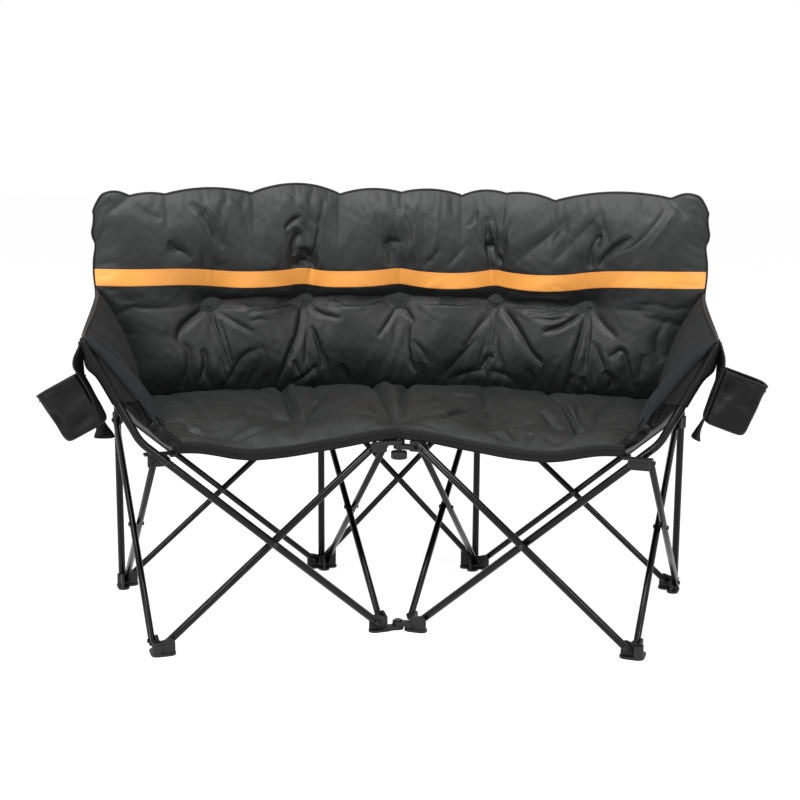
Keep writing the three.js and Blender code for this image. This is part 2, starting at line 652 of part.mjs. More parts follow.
// Knob: a lobed grip under the hub, on a stud that pins the two hub halves together
function knobSolid() {
  const grip = new THREE.Shape();
  const points = KNOB_LOBE_STEPS * KNOB_LOBES;
  for (let step = 0; step < points; step += 1) {
    const angle = (2 * PI * step) / points;
    const radius = KNOB_RADIUS - KNOB_LOBE_DEPTH * (1 - cos(KNOB_LOBES * angle)) / 2;
    const move = step === 0 ? 'moveTo' : 'lineTo';
    grip[move](radius * cos(angle), radius * sin(angle));
  }
  const stemTop = TOP_KNUCKLE_BASE - FIT;
  const gripTop = stemTop - KNOB_STEM;
  return join(
    toSolid(slab(grip, gripTop - KNOB_HEIGHT, KNOB_HEIGHT)),
    rod([0, 0, gripTop - OVERCUT], [0, 0, stemTop], KNOB_STEM_RADIUS, RING_SIDES),
    hingePin(gripTop - OVERCUT, TOP_KNUCKLE_BASE + KNUCKLE_STACK),
  );
}
addPiece('centre_knob', knobSolid(), NYLON);

// Fabric

const mix = (from, to, share) => from + (to - from) * share;
const clamp = (value) => Math.max(0, Math.min(1, value));
const softStep = (share) => clamp(share) ** 2 * (3 - 2 * clamp(share));

// Fullness of a pad across its width or height: 0 at both edges, 1 inside
const fullness = (share, power) => 1 - abs(2 * share - 1) ** power;

// Line of the posts in plan, rounded where it turns at the inner posts
function postLine(x) {
  const [innerX, innerY] = [abs(LEGS.inner_right[0]), LEGS.inner_right[1]];
  const past = (abs(x) - innerX) / PLAN_SOFTNESS;
  return innerY - tan(TOE_IN) * PLAN_SOFTNESS * Math.log(1 + exp(past));
}

// Direction in plan that faces the sitter's front, square to the line of the posts
function frontOf(x) {
  const step = 1;
  const slope = (postLine(x + step) - postLine(x - step)) / (2 * step);
  const length = hypot(slope, 1);
  return [slope / length, -1 / length];
}

function dimple(distance) {
  return exp(-((distance / TUFT_RADIUS) ** 2));
}

// Top edge of the back: gathers that dip, with rounded rises between them
function backTop(x) {
  const across = abs(x);
  let scallop = 0;
  for (let index = 0; index + 1 < BACK_GATHERS.length; index += 1) {
    const share = (across - BACK_GATHERS[index]) / (BACK_GATHERS[index + 1] - BACK_GATHERS[index]);
    if (share > 0 && share < 1) scallop = sin(PI * share);
  }
  const corner = softStep((across - BACK_BOTTOM_HALF) / (BACK_TOP_HALF - BACK_BOTTOM_HALF));
  return BACK_TOP + BACK_SCALLOP * scallop - BACK_CORNER_DROP * corner;
}

// Half the back's width, which grows from the bottom and then stays
const backHalf = (up) => mix(BACK_BOTTOM_HALF, BACK_TOP_HALF, softStep(up / BACK_FLARE));

function backPoint(across, up, face) {
  const s = 2 * across - 1;
  const x = s * backHalf(up);
  const height = mix(BACK_BOTTOM, backTop(x), up);
  const full = fullness(across, 12) * fullness(up, 6);
  let tuft = 0;
  for (const row of TUFT_ROWS) {
    for (const column of TUFT_COLUMNS) tuft = Math.max(tuft, dimple(hypot(x - column, height - row)));
  }
  const front = BACK_EDGE / 2 + full * (BACK_CROWN - TUFT_DEPTH * tuft);
  const rear = BACK_EDGE / 2 + full * BACK_REAR_CROWN;
  const proud = BACK_INSET + (face > 0 ? front : -rear);
  const [nx, ny] = frontOf(x);
  return [x + nx * proud, postLine(x) + ny * proud, height];
}

function seatPoint(across, back, face) {
  const s = 2 * across - 1;
  const side = s < 0 ? 'left' : 'right';
  const out = -(HINGE_TO_LEG + BAY) * (1 - abs(s)) - SEAT_CORNER_INSET * abs(s);
  const hung = clamp((abs(s) - SEAT_REST) / (1 - 2 * SEAT_REST));
  const frontHeight = HUB_TOP + FIT + SEAT_EDGE / 2 - SEAT_FRONT_SAG * sin(PI * hung) ** 2;
  const [frontX, frontY] = fromFrontLeg(side, out, 0, 0);
  const rearX = s * SEAT_REAR_HALF;
  const rearY = postLine(rearX) - SEAT_REAR_INSET;
  const x = mix(frontX, rearX, back);
  const y = mix(frontY, rearY, back);
  const full = fullness(across, 10) * fullness(back, 5);
  const settled = full * softStep((back - SEAT_LEVEL) / SEAT_SETTLE);
  const middle = mix(frontHeight, SEAT_REAR_HEIGHT, back) - SEAT_SAG * settled;
  const edge = mix(SEAT_EDGE, SEAT_REAR_EDGE, softStep(back)) / 2;
  let tuft = 0;
  for (const column of TUFT_COLUMNS) tuft = Math.max(tuft, dimple(hypot(x - column, y - SEAT_TUFT_Y)));
  const upper = edge + full * (SEAT_CROWN - SEAT_TUFT_DEPTH * tuft);
  const lower = -edge - settled * SEAT_BELLY;
  return [x, y, middle + (face > 0 ? upper : lower)];
}

// Pockets behind the back that slip over the tops of the posts
function backPockets() {
  const outer = POST_RADIUS + FIT + POCKET_WALL;
  return ['outer_left', 'inner_left', 'inner_right', 'outer_right'].map((leg) => {
    const [x, y] = LEGS[leg];
    const [nx, ny] = frontOf(x);
    const top = POST_TOP + FIT + POCKET_CAP;
    const pocket = toSolid(slab(stadium(0, BACK_INSET, outer), POCKET_BOTTOM, top - POCKET_BOTTOM));
    return turned(pocket, atan2(ny, nx)).translate([x, y, 0]);
  });
}

const postBore = (leg) => rod(
  [...LEGS[leg].slice(0, 2), POCKET_BOTTOM - OVERCUT],
  [...LEGS[leg].slice(0, 2), POST_TOP + FIT],
  POST_RADIUS + FIT,
  TUBE_SIDES,
);

function backSolid() {
  const whole = join(toSolid(pad(backPoint, ...BACK_GRID)), ...backPockets());
  return cut(whole, ...Object.keys(LEGS).filter((leg) => /outer|inner/.test(leg)).map(postBore));
}

addPiece('seat_pad', pad(seatPoint, ...SEAT_GRID), PADDED_CLOTH);
addPiece('back_pad', backSolid(), PADDED_CLOTH);

// Straight upper part of the arm tube, in the plane of the front braces: outwards from the front
// leg axis and up, at a distance from the tube's end and to the outer side of its axis
function armPoint(fromEnd, away = 0) {
  const [endOut, endHeight] = armPath(PIVOT_REACH - BAY, -PIVOT_REACH).at(-1);
  return [
    endOut - fromEnd * cos(ARM_RISE) + away * sin(ARM_RISE),
    endHeight - fromEnd * sin(ARM_RISE) - away * cos(ARM_RISE),
  ];
}
const armSideways = (side) => handOf(side) * braceOffset(MAIN_TUBE);

// Front edge of a wing: a bowed curve from the seat corner to the arm tip
const wingCurve = new THREE.QuadraticBezierCurve(
  new THREE.Vector2(...WING_FRONT_LOW),
  new THREE.Vector2(...WING_FRONT_BOW),
  new THREE.Vector2(...WING_FRONT_TIP),
);

// Rear edge of a wing, sewn to the front of the back: from its side edge inwards to the seat
function wingRear(up) {
  const half = backHalf((WING_REAR_TOP - BACK_BOTTOM) / (BACK_TOP - BACK_BOTTOM));
  const topOut = (half - OUTER_POST_X) / cos(TOE_IN) + FIT;
  const edgeBack = BAY - BACK_INSET - BACK_EDGE / 2 - WING_TO_BACK;
  return [mix(WING_REAR_LOW, topOut, up ** 2), mix(edgeBack - BACK_CROWN, edgeBack, up ** 2)];
}

function wingPoint(side, along, up, face) {
  const front = wingCurve.getPoint(up);
  const rearHeight = mix(WING_REAR_BOTTOM, WING_REAR_TOP, up);
  const ease = softStep(along);
  const full = fullness(along, 6) * fullness(up, 4);
  const rim = sin(PI * up) * (1 - softStep(along / WING_RIM_DEPTH));
  const half = (WING_EDGE + Math.max(full * (WING_THICKNESS - WING_EDGE), rim * (WING_RIM - WING_EDGE))) / 2;
  const [rearOut, rearBack] = wingRear(up);
  const out = mix(front.x, rearOut, ease) - face * half;
  const height = mix(front.y, rearHeight, ease) - WING_SAG * up * sin(PI * along);
  const frontBack = armSideways(side) + SLEEVE_OUTER - WING_TUCK;
  return fromFrontLeg(side, out, mix(frontBack, rearBack, along), height);
}

// Turn a shape drawn in the plane of the front braces (outwards, backwards, up) to its side
function drawnFromFrontLeg(side, geometry) {
  const positions = geometry.attributes.position;
  const placed = [];
  for (let index = 0; index < positions.count; index += 1) {
    placed.push(...fromFrontLeg(side, positions.getX(index), positions.getY(index), positions.getZ(index)));
  }
  return facingOut(placed, Array.from(geometry.index.array));
}

// Sleeve over the end of the arm tube, closed at the tip, with a gathered panel on the seat side
function sleeveGeometry(side) {
  const sideways = armSideways(side);
  const mouth = armPoint(SLEEVE_LENGTH);
  const outside = ringsAlong([mouth, armPoint(-FIT - SLEEVE_CAP)], sideways, SLEEVE_OUTER);
  const inside = ringsAlong([mouth, armPoint(-FIT)], sideways, SLEEVE_INNER);
  const tunnel = toSolid(loft([...outside.reverse(), ...inside], false));
  const root = (SLEEVE_INNER + SLEEVE_OUTER) / 2;
  const web = new THREE.Shape();
  web.moveTo(...armPoint(SLEEVE_LENGTH, -root));
  web.lineTo(...armPoint(0, -root));
  web.lineTo(...armPoint(SLEEVE_LENGTH, -SLEEVE_WEB_WIDTH));
  for (const corner of [...GUSSET_TOE].reverse()) web.lineTo(...corner);
  web.lineTo(...armPoint(SLEEVE_LENGTH + GUSSET_DROP, -GUSSET_CLEAR));
  web.lineTo(...armPoint(SLEEVE_LENGTH, -GUSSET_CLEAR));
  const panel = slab(web, -SLEEVE_WEB / 2, SLEEVE_WEB);
  panel.rotateX(PI / 2);
  panel.translate(0, sideways, 0);
  return drawnFromFrontLeg(side, toGeometry(join(tunnel, toSolid(panel))));
}

const roundedSquare = (value) => Math.sign(value) * abs(value) ** POUCH_CORNER;

// Ring of a pouch: a square with rounded corners, square to the pouch's leaning axis
function pouchRing(side, distance, width, depth) {
  const [footOut, footHeight] = POUCH_FOOT[side];
  const axis = [sin(POUCH_TILT[side]), cos(POUCH_TILT[side])];
  return Array.from({ length: POUCH_SIDES }, (_, index) => {
    const angle = (2 * PI * index) / POUCH_SIDES;
    const across = (roundedSquare(cos(angle)) * width) / 2;
    const back = (roundedSquare(sin(angle)) * depth) / 2;
    return [
      footOut + axis[0] * distance + axis[1] * across,
      POUCH_BACKSET + back,
      footHeight + axis[1] * distance - axis[0] * across,
    ];
  });
}

// The pouch's edge nearest the arm, at a distance up its leaning axis
function pouchEdge(side, distance, width) {
  const [footOut, footHeight] = POUCH_FOOT[side];
  const [lean, upright] = [sin(POUCH_TILT[side]), cos(POUCH_TILT[side])];
  return [
    footOut + lean * distance - (upright * width) / 2,
    footHeight + upright * distance + (lean * width) / 2,
  ];
}

// Pouch with an open mouth, and the flap that hangs it from the arm tip and ends in a tongue
function pouchGeometry(side) {
  const floorDepth = (POUCH_DEPTH * POUCH_FLOOR) / POUCH_MOUTH;
  const wall = 2 * POUCH_WALL;
  const floorInside = pouchRing(side, POUCH_WALL, POUCH_FLOOR - wall, floorDepth - wall);
  const mouthInside = pouchRing(side, POUCH_HEIGHT, POUCH_MOUTH - wall, POUCH_DEPTH - wall);
  const aboveWidth = 2 * POUCH_MOUTH - POUCH_FLOOR - wall;
  const above = pouchRing(side, 2 * POUCH_HEIGHT, aboveWidth, POUCH_DEPTH - wall);
  const shell = toSolid(loft([
    pouchRing(side, 0, POUCH_FLOOR, floorDepth),
    pouchRing(side, POUCH_HEIGHT, POUCH_MOUTH, POUCH_DEPTH),
    mouthInside,
    floorInside,
  ], false));
  const path = [
    armPoint(FLAP_DROP, SLEEVE_OUTER + FLAP_CLEAR + FLAP_THICKNESS / 2),
    pouchEdge(side, POUCH_HEIGHT, POUCH_MOUTH),
    pouchEdge(side, 0, POUCH_FLOOR),
    FLAP_END[side],
  ];
  const spans = path.length - 1;
  const flap = pad((along, width, face) => {
    const spot = along * spans;
    const index = Math.min(Math.floor(spot), spans - 1);
    const [from, to] = [path[index], path[index + 1]];
    const half = (FLAP_WIDTH / 2) * mix(FLAP_TAPER, 1, clamp(spot));
    return [
      mix(from[0], to[0], spot - index) + (face * FLAP_THICKNESS) / 2,
      POUCH_BACKSET + mix(-half, half, width),
      mix(from[1], to[1], spot - index),
    ];
  }, spans, 2);
  const inside = toSolid(loft([floorInside, above], false));
  const [tipOut] = armPoint(0);
  const hung = toGeometry(join(cut(toSolid(flap), inside), shell));
  hung.translate(-tipOut, -POUCH_BACKSET, 0).rotateZ(POUCH_TURN[side]).translate(tipOut, POUCH_BACKSET, 0);
  return drawnFromFrontLeg(side, hung);
}

for (const side of SIDES) {
  const wingAt = (along, up, face) => wingPoint(side, along, up, face);
  addPiece(`wing_${side}`, pad(wingAt, ...WING_GRID), PADDED_CLOTH);
  addPiece(`arm_sleeve_${side}`, sleeveGeometry(side), TRIM_CLOTH);
  addPiece(`cup_holder_${side}`, pouchGeometry(side), TRIM_CLOTH);
}

// The origin is under the middle of the chair, on the ground
const box = new THREE.Box3().setFromObject(chair);
chair.position.y = -(box.min.y + box.max.y) / 2;

export default chair;
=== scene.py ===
"""Dresses the folding two-seat camp chair: smooth tubes, moulded joints, tufted cloth and its trim."""

import json
import math

import bmesh
import bpy
import numpy as np
from bpy.props import FloatProperty, FloatVectorProperty, IntProperty, PointerProperty
from mathutils import Matrix, Vector


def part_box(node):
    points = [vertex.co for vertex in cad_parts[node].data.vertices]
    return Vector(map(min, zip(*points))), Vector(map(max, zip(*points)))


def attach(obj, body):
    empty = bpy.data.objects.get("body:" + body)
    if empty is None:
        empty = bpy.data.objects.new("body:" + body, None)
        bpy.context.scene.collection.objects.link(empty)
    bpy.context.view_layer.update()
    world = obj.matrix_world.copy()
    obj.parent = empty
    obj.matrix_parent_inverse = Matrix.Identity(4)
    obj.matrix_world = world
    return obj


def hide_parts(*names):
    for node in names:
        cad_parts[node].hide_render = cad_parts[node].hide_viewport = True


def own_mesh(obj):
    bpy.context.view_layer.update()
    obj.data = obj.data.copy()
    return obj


bl_info = {
    "name": "Camp loveseat dresser",
    "version": (1, 0, 0),
    "blender": (4, 5, 0),
    "location": "View3D > Sidebar > Loveseat",
    "description": "Builds the cloth, tubes, joints and stage of a folding two-seat camp chair",
    "category": "Object",
}

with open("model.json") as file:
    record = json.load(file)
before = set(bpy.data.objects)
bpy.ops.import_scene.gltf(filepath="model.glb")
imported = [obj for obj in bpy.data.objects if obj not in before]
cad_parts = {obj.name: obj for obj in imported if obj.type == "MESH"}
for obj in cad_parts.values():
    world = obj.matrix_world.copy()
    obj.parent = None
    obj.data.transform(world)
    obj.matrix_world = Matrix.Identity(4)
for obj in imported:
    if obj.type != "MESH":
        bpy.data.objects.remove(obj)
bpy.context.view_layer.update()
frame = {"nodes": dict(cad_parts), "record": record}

MM = 0.001
SIDES = ("left", "right")
HAND = {"left": -1, "right": 1}

# Frame plan, as in the part's source
BAY = 480 * MM
TOE_IN = math.radians(19.5)
HINGE_TO_LEG = 28 * MM
PIVOT_REACH = 24 * MM
PIVOT_LOW = 24 * MM
PIVOT_HIGH = 396 * MM
MIDDLE_LOW = 44 * MM
MIDDLE_HIGH = 400 * MM
MAIN_TUBE = 16 * MM
SIDE_TUBE = 14 * MM
BRACE_GAP = 0.4 * MM
TUBE_END = 8 * MM
POST_FOOT = 5.3 * MM
POST_TOP = 884 * MM
ARM_RUN = 65 * MM
ARM_RISE = math.radians(62.5)
ARM_LEG = 222 * MM
ARM_BEND_RADIUS = 90 * MM
SLOPE = math.atan2(PIVOT_HIGH - PIVOT_LOW, BAY - 2 * PIVOT_REACH)
HUB_TOP = 411 * MM
# Place of the hinge axis of the two halves
HINGE_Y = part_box("centre_knob")[0].y / 2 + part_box("centre_knob")[1].y / 2


def outwards(side):
    return np.array([HAND[side] * math.cos(TOE_IN), -math.sin(TOE_IN), 0.0])


def backwards(side):
    return np.array([HAND[side] * math.sin(TOE_IN), math.cos(TOE_IN), 0.0])


def from_front_leg(side, out, back, height):
    """Point given from the front leg axis of a side; the three distances may be arrays."""
    out, back, height = np.broadcast_arrays(out, back, height)
    reach = HINGE_TO_LEG + BAY + out
    point = reach[..., None] * outwards(side) + back[..., None] * backwards(side)
    return point + np.stack([0 * height, 0 * height + HINGE_Y, height], -1)


LEGS = {}
for a_side in SIDES:
    LEGS[f"front_{a_side}"] = from_front_leg(a_side, 0.0, 0.0, 0.0)
    LEGS[f"centre_{a_side}"] = from_front_leg(a_side, -BAY, 0.0, 0.0)
    LEGS[f"outer_{a_side}"] = from_front_leg(a_side, 0.0, BAY, 0.0)
    LEGS[f"inner_{a_side}"] = from_front_leg(a_side, -BAY, BAY, 0.0)
INNER_X = LEGS["inner_right"][0]
INNER_Y = LEGS["inner_right"][1]
BODY_OF = {node: body for body, nodes in frame["record"]["behaviour"]["bodies"].items() for node in nodes}


# Properties


def srgb(code):
    """Red, green and blue from 0 to 1 of a hex colour."""
    return tuple(int(code[place:place + 2], 16) / 255 for place in (0, 2, 4))


class LoveseatFrameSizes(bpy.types.PropertyGroup):
    """Sizes of the dressed frame"""

    tube_sides: IntProperty(name="Tube sides", description="Facets round a tube", default=28, min=8)
    bend_steps: IntProperty(name="Bend steps", description="Segments in an arm's bend", default=14, min=4)
    edge_round: FloatProperty(
        name="Edge round", description="Rounding of the moulded edges", default=0.9 * MM,
        subtype="DISTANCE")
    rivet_radius: FloatProperty(
        name="Rivet radius", description="Radius of a rivet's head", default=5.4 * MM, subtype="DISTANCE")
    rivet_height: FloatProperty(
        name="Rivet height", description="Height of a rivet's dome", default=3.0 * MM, subtype="DISTANCE")


class LoveseatClothSizes(bpy.types.PropertyGroup):
    """Sizes of the cloth"""

    cell: FloatProperty(
        name="Cloth cell", description="Size of one cell of the simulated cloth", default=5 * MM,
        subtype="DISTANCE")
    slack: FloatProperty(
        name="Slack", description="Share by which the cloth is larger than its frame", default=0.03)
    swell: FloatProperty(
        name="Swell", description="Push of the filling against the cloth", default=3.0, unit="ACCELERATION")
    frames: IntProperty(name="Frames", description="Steps of each simulation", default=20, min=2)
    stripe: FloatProperty(
        name="Stripe", description="Width of the coloured band on the back", default=37 * MM,
        subtype="DISTANCE")


class LoveseatColours(bpy.types.PropertyGroup):
    """Colours, as sRGB values"""

    cloth: FloatVectorProperty(
        name="Cloth", description="Padded cloth", default=srgb("1E1F1F"), subtype="COLOR_GAMMA")
    # Trim black: partly the polyester's own colour, partly painted shade for the hem and gathered panels
    # that lie in shade
    trim: FloatVectorProperty(
        name="Trim", description="Sleeves, pouches and hems", default=srgb("0D0D0E"), subtype="COLOR_GAMMA")
    stripe: FloatVectorProperty(
        name="Stripe", description="Band across the back", default=srgb("FCAB4F"), subtype="COLOR_GAMMA")
    coat: FloatVectorProperty(
        name="Coat", description="Powder coat of the tubes", default=srgb("09090A"), subtype="COLOR_GAMMA")
    nylon: FloatVectorProperty(
        name="Nylon", description="Moulded joints", default=srgb("0F1010"), subtype="COLOR_GAMMA")


def sizes():
    return bpy.context.scene.loveseat_frame


def cloth_sizes():
    return bpy.context.scene.loveseat_cloth


def linear(colour):
    """Linear RGBA of an sRGB colour."""
    parts = [c / 12.92 if c <= 0.04045 else ((c + 0.055) / 1.055) ** 2.4 for c in colour]
    return (*parts, 1.0)


# Materials

WAVE_SPACING = math.pi / 10  # from band to band of a wave texture at scale 1
BLOTCH = 111 * MM  # patches of uneven tone in dyed cloth
CRUMPLE = 18.2 * MM  # small creases of coated cloth
WEAR = 71.4 * MM  # patches where coat and nylon are handled
TURNING = 1.11 * MM  # marks of the lathe, drawn coarser than they are so that they show
MOST_NOISE = {"From Min": 0.3, "From Max": 0.7}  # nearly all of a noise lies between these


def add_node(tree, kind, links=None, **settings):
    """Adds a node; settings name its properties, links give an input's source socket or value."""
    node = tree.nodes.new(kind)
    for key, value in settings.items():
        setattr(node, key, value)
    for key, value in (links or {}).items():
        socket = node.inputs[key]
        if isinstance(value, bpy.types.NodeSocket):
            tree.links.new(value, socket)
        else:
            socket.default_value = value
    return node


def new_material(name):
    material = bpy.data.materials.get(name) or bpy.data.materials.new(name)
    material.use_nodes = True
    tree = material.node_tree
    tree.nodes.clear()
    shader = add_node(tree, "ShaderNodeBsdfPrincipled")
    output = add_node(tree, "ShaderNodeOutputMaterial")
    tree.links.new(shader.outputs["BSDF"], output.inputs["Surface"])
    return material, tree, shader


def woven_material(name, colour, thread, roughness, weave_depth, gloss, tone=0.12):
    """Woven polyester with a plain weave that follows the piece's own UV map."""
    material, tree, shader = new_material(name)
    coordinates = add_node(tree, "ShaderNodeTexCoord")
    place, laid = coordinates.outputs["Object"], coordinates.outputs["UV"]
    waves = []
    for direction in ("X", "Y"):
        wave = add_node(
            tree, "ShaderNodeTexWave", {"Vector": laid, "Scale": WAVE_SPACING / thread},
            wave_type="BANDS", bands_direction=direction)
        waves.append(wave.outputs["Fac"])
    weave = add_node(tree, "ShaderNodeMath", {0: waves[0], 1: waves[1]}, operation="MULTIPLY")
    blotch = add_node(
        tree, "ShaderNodeTexNoise", {"Vector": place, "Scale": 1 / BLOTCH, "Detail": 5.0, "Roughness": 0.6})
    shade = add_node(
        tree, "ShaderNodeMapRange",
        {"Value": blotch.outputs["Fac"], **MOST_NOISE,
         "To Min": 1 - tone, "To Max": 1 + tone})
    base = linear(colour)
    tint = add_node(
        tree, "ShaderNodeVectorMath", {0: base[:3], "Scale": shade.outputs["Result"]}, operation="SCALE")
    tree.links.new(tint.outputs["Vector"], shader.inputs["Base Color"])
    rough = add_node(
        tree, "ShaderNodeMapRange",
        {"Value": blotch.outputs["Fac"], **MOST_NOISE,
         "To Min": roughness - 0.05, "To Max": roughness + 0.06})
    tree.links.new(rough.outputs["Result"], shader.inputs["Roughness"])
    crease = add_node(
        tree, "ShaderNodeTexNoise",
        {"Vector": place, "Scale": 1 / CRUMPLE, "Detail": 4.0, "Roughness": 0.55})
    fine = add_node(
        tree, "ShaderNodeBump", {"Height": weave.outputs["Value"], "Strength": 0.3, "Distance": weave_depth})
    bump = add_node(
        tree, "ShaderNodeBump",
        {"Height": crease.outputs["Fac"], "Strength": 0.3, "Distance": 0.7 * MM,
         "Normal": fine.outputs["Normal"]})
    tree.links.new(bump.outputs["Normal"], shader.inputs["Normal"])
    shader.inputs["Specular IOR Level"].default_value = gloss
    return material


def coated_material(name, colour, roughness, grain, depth, gloss):
    """Powder coat, moulded nylon or thread: an even colour with a fine grain in its surface."""
    material, tree, shader = new_material(name)
    place = add_node(tree, "ShaderNodeTexCoord").outputs["Object"]
    noise = add_node(tree, "ShaderNodeTexNoise", {"Vector": place, "Scale": 1 / grain, "Detail": 2.0})
    wear = add_node(tree, "ShaderNodeTexNoise", {"Vector": place, "Scale": 1 / WEAR, "Detail": 4.0})
    rough = add_node(
        tree, "ShaderNodeMapRange",
        {"Value": wear.outputs["Fac"], **MOST_NOISE,
         "To Min": roughness - 0.04, "To Max": roughness + 0.06})
    tree.links.new(rough.outputs["Result"], shader.inputs["Roughness"])
    base = linear(colour)
    shade = add_node(
        tree, "ShaderNodeMapRange",
        {"Value": wear.outputs["Fac"], **MOST_NOISE, "To Min": 0.9, "To Max": 1.12})
    tint = add_node(
        tree, "ShaderNodeVectorMath", {0: base[:3], "Scale": shade.outputs["Result"]}, operation="SCALE")
    tree.links.new(tint.outputs["Vector"], shader.inputs["Base Color"])
    bump = add_node(
        tree, "ShaderNodeBump", {"Height": noise.outputs["Fac"], "Strength": 0.2, "Distance": depth})
    tree.links.new(bump.outputs["Normal"], shader.inputs["Normal"])
    shader.inputs["Specular IOR Level"].default_value = gloss
    return material


def steel_material(name, colour, roughness):
    """Blackened steel with fine turning marks."""
    material, tree, shader = new_material(name)
    place = add_node(tree, "ShaderNodeTexCoord").outputs["Object"]
    noise = add_node(tree, "ShaderNodeTexNoise", {"Vector": place, "Scale": 1 / TURNING, "Detail": 2.0})
    rough = add_node(
        tree, "ShaderNodeMapRange",
        {"Value": noise.outputs["Fac"], "To Min": roughness - 0.08, "To Max": roughness + 0.1})
    tree.links.new(rough.outputs["Result"], shader.inputs["Roughness"])
    shader.inputs["Base Color"].default_value = linear(colour)
    shader.inputs["Metallic"].default_value = 0.9
    return material


def make_materials():
    colours = bpy.context.scene.loveseat_colours
    # Coated polyester over wadding: nearly black, a soft satin gleam on every fold, thread too fine to see,
    # so its weave is drawn about four times as coarse
    woven_material(
        "padded_polyester", colours.cloth, thread=2.4 * MM, roughness=0.5, weave_depth=0.2 * MM, gloss=0.3)
    # The same cloth on the seat, a little lighter and greener and with less gloss, so it takes less colour
    # from the stripe above it
    woven_material(
        "seat_polyester", srgb("202222"), thread=2.4 * MM, roughness=0.5, weave_depth=0.2 * MM, gloss=0.24)
    # The same cloth inside the wings and on their rims, made lighter as painted light for the side light the
    # wings catch, and matt, without the gleam
    woven_material(
        "wing_polyester_lit", srgb("2A2B2C"), thread=2.4 * MM, roughness=0.8, weave_depth=0.2 * MM, gloss=0.05)
    # Plain polyester of the sleeves, pouches and hems: blacker and duller than the padded cloth, its black
    # partly its own and partly painted shade, set for the hem and the gathered panels that lie in shade
    woven_material(
        "trim_polyester", colours.trim, thread=2.0 * MM, roughness=0.55, weave_depth=0.2 * MM, gloss=0.17)
    # Woven ribbon: strong orange with a pale gleam where it lies flat to the light
    woven_material(
        "stripe_ribbon", colours.stripe, thread=1.8 * MM, roughness=0.38, weave_depth=0.1 * MM, gloss=0.5,
        tone=0.04)
    # Folded tape along the edges: ribbed and blacker than the cloth it binds
    woven_material(
        "binding_tape", srgb("121213"), thread=1.6 * MM, roughness=0.55, weave_depth=0.2 * MM, gloss=0.2)
    # Powder coat on steel tube: black with a narrow highlight and a faint orange-peel grain
    coated_material(
        "powder_coat", colours.coat, roughness=0.17, grain=1.6 * MM, depth=0.015 * MM, gloss=0.22)
    # Moulded nylon with glass filling: a grained, even, dull black
    coated_material(
        "moulded_nylon", colours.nylon, roughness=0.48, grain=1.1 * MM, depth=0.1 * MM, gloss=0.35)
    # Spun thread, grey on the cloth and orange on the ribbon: matt, a shade off its ground
    coated_material(
        "stitch_thread", srgb("242425"), roughness=0.55, grain=0.4 * MM, depth=0.05 * MM, gloss=0.4)
    coated_material(
        "stripe_thread", srgb("ED802E"), roughness=0.55, grain=0.4 * MM, depth=0.05 * MM, gloss=0.4)
    # Blackened steel rivets: a small dark mirror with turning marks
    steel_material("rivet_steel", srgb("333336"), roughness=0.34)


# Mesh helpers


def new_object(name, data):
    piece = bpy.data.objects.new(name, data)
    bpy.context.scene.collection.objects.link(piece)
    return piece


def mesh_object(name, points, faces, material, smooth=True):
    mesh = bpy.data.meshes.new(name)
    places = np.asarray(points, float).reshape(-1, 3).tolist()
    mesh.from_pydata(places, [], [list(map(int, f)) for f in faces])
    mesh.materials.append(bpy.data.materials[material])
    mesh.polygons.foreach_set("use_smooth", [smooth] * len(mesh.polygons))
    mesh.update()
    return new_object(name, mesh)


def lay_weave(piece, across, along):
    """UV map in metres, given at each vertex: across and along the cloth; a closed loop is unrolled."""
    mesh = piece.data
    corners = np.zeros(len(mesh.loops), int)
    mesh.loops.foreach_get("vertex_index", corners)
    starts = np.zeros(len(mesh.polygons), int)
    counts = np.zeros(len(mesh.polygons), int)
    mesh.polygons.foreach_get("loop_start", starts)
    mesh.polygons.foreach_get("loop_total", counts)
    laid = np.stack([np.ravel(across)[corners], np.ravel(along)[corners]], -1)
    quads = starts[counts == 4][:, None] + np.arange(4)
    span = np.ptp(across)
    jumps = np.ptp(laid[quads, 0], axis=1) > span / 2
    wrapped = quads[jumps]
    laid[wrapped, 0] = np.where(laid[wrapped, 0] < span / 2, laid[wrapped, 0] + span, laid[wrapped, 0])
    layer = mesh.uv_layers.new(name="weave")
    layer.data.foreach_set("uv", laid.reshape(-1))
    return piece


def cloth_lengths(grid):
    """Distances across and along a grid of points, from its first column and row."""
    steps = [np.linalg.norm(np.diff(grid, axis=axis), axis=-1).mean(1 - axis) for axis in (1, 0)]
    across, along = (np.concatenate([[0], np.cumsum(step)]) for step in steps)
    return np.broadcast_to(across, grid.shape[:2]), np.broadcast_to(along[:, None], grid.shape[:2])


def grid_faces(rows, columns, start=0, loop=False):
    """Quads of a grid of points stored row by row; loop joins the last column to the first."""
    index = start + np.arange(rows * columns).reshape(rows, columns)
    if loop:
        index = np.concatenate([index, index[:, :1]], 1)
    quads = np.stack([index[:-1, :-1], index[:-1, 1:], index[1:, 1:], index[1:, :-1]], -1)
    return quads.reshape(-1, 4).tolist()


def outward(piece):
    """Turns every face of a closed piece outwards."""
    work = bmesh.new()
    work.from_mesh(piece.data)
    bmesh.ops.recalc_face_normals(work, faces=work.faces)
    work.to_mesh(piece.data)
    work.free()
    return piece


def path_frames(path):
    """Unit tangents and two square directions along a path of points."""
    path = np.asarray(path, float)
    tangents = np.gradient(path, axis=0)
    tangents /= np.linalg.norm(tangents, axis=1)[:, None]
    first = np.cross(tangents[0], (0, 0, 1.0))
    if np.linalg.norm(first) < 0.05:
        first = np.array([1.0, 0, 0])
    firsts, seconds = [], []
    for tangent in tangents:
        first = first - tangent * (first @ tangent)
        first /= np.linalg.norm(first)
        firsts.append(first)
        seconds.append(np.cross(tangent, first))
    return tangents, np.array(firsts), np.array(seconds)


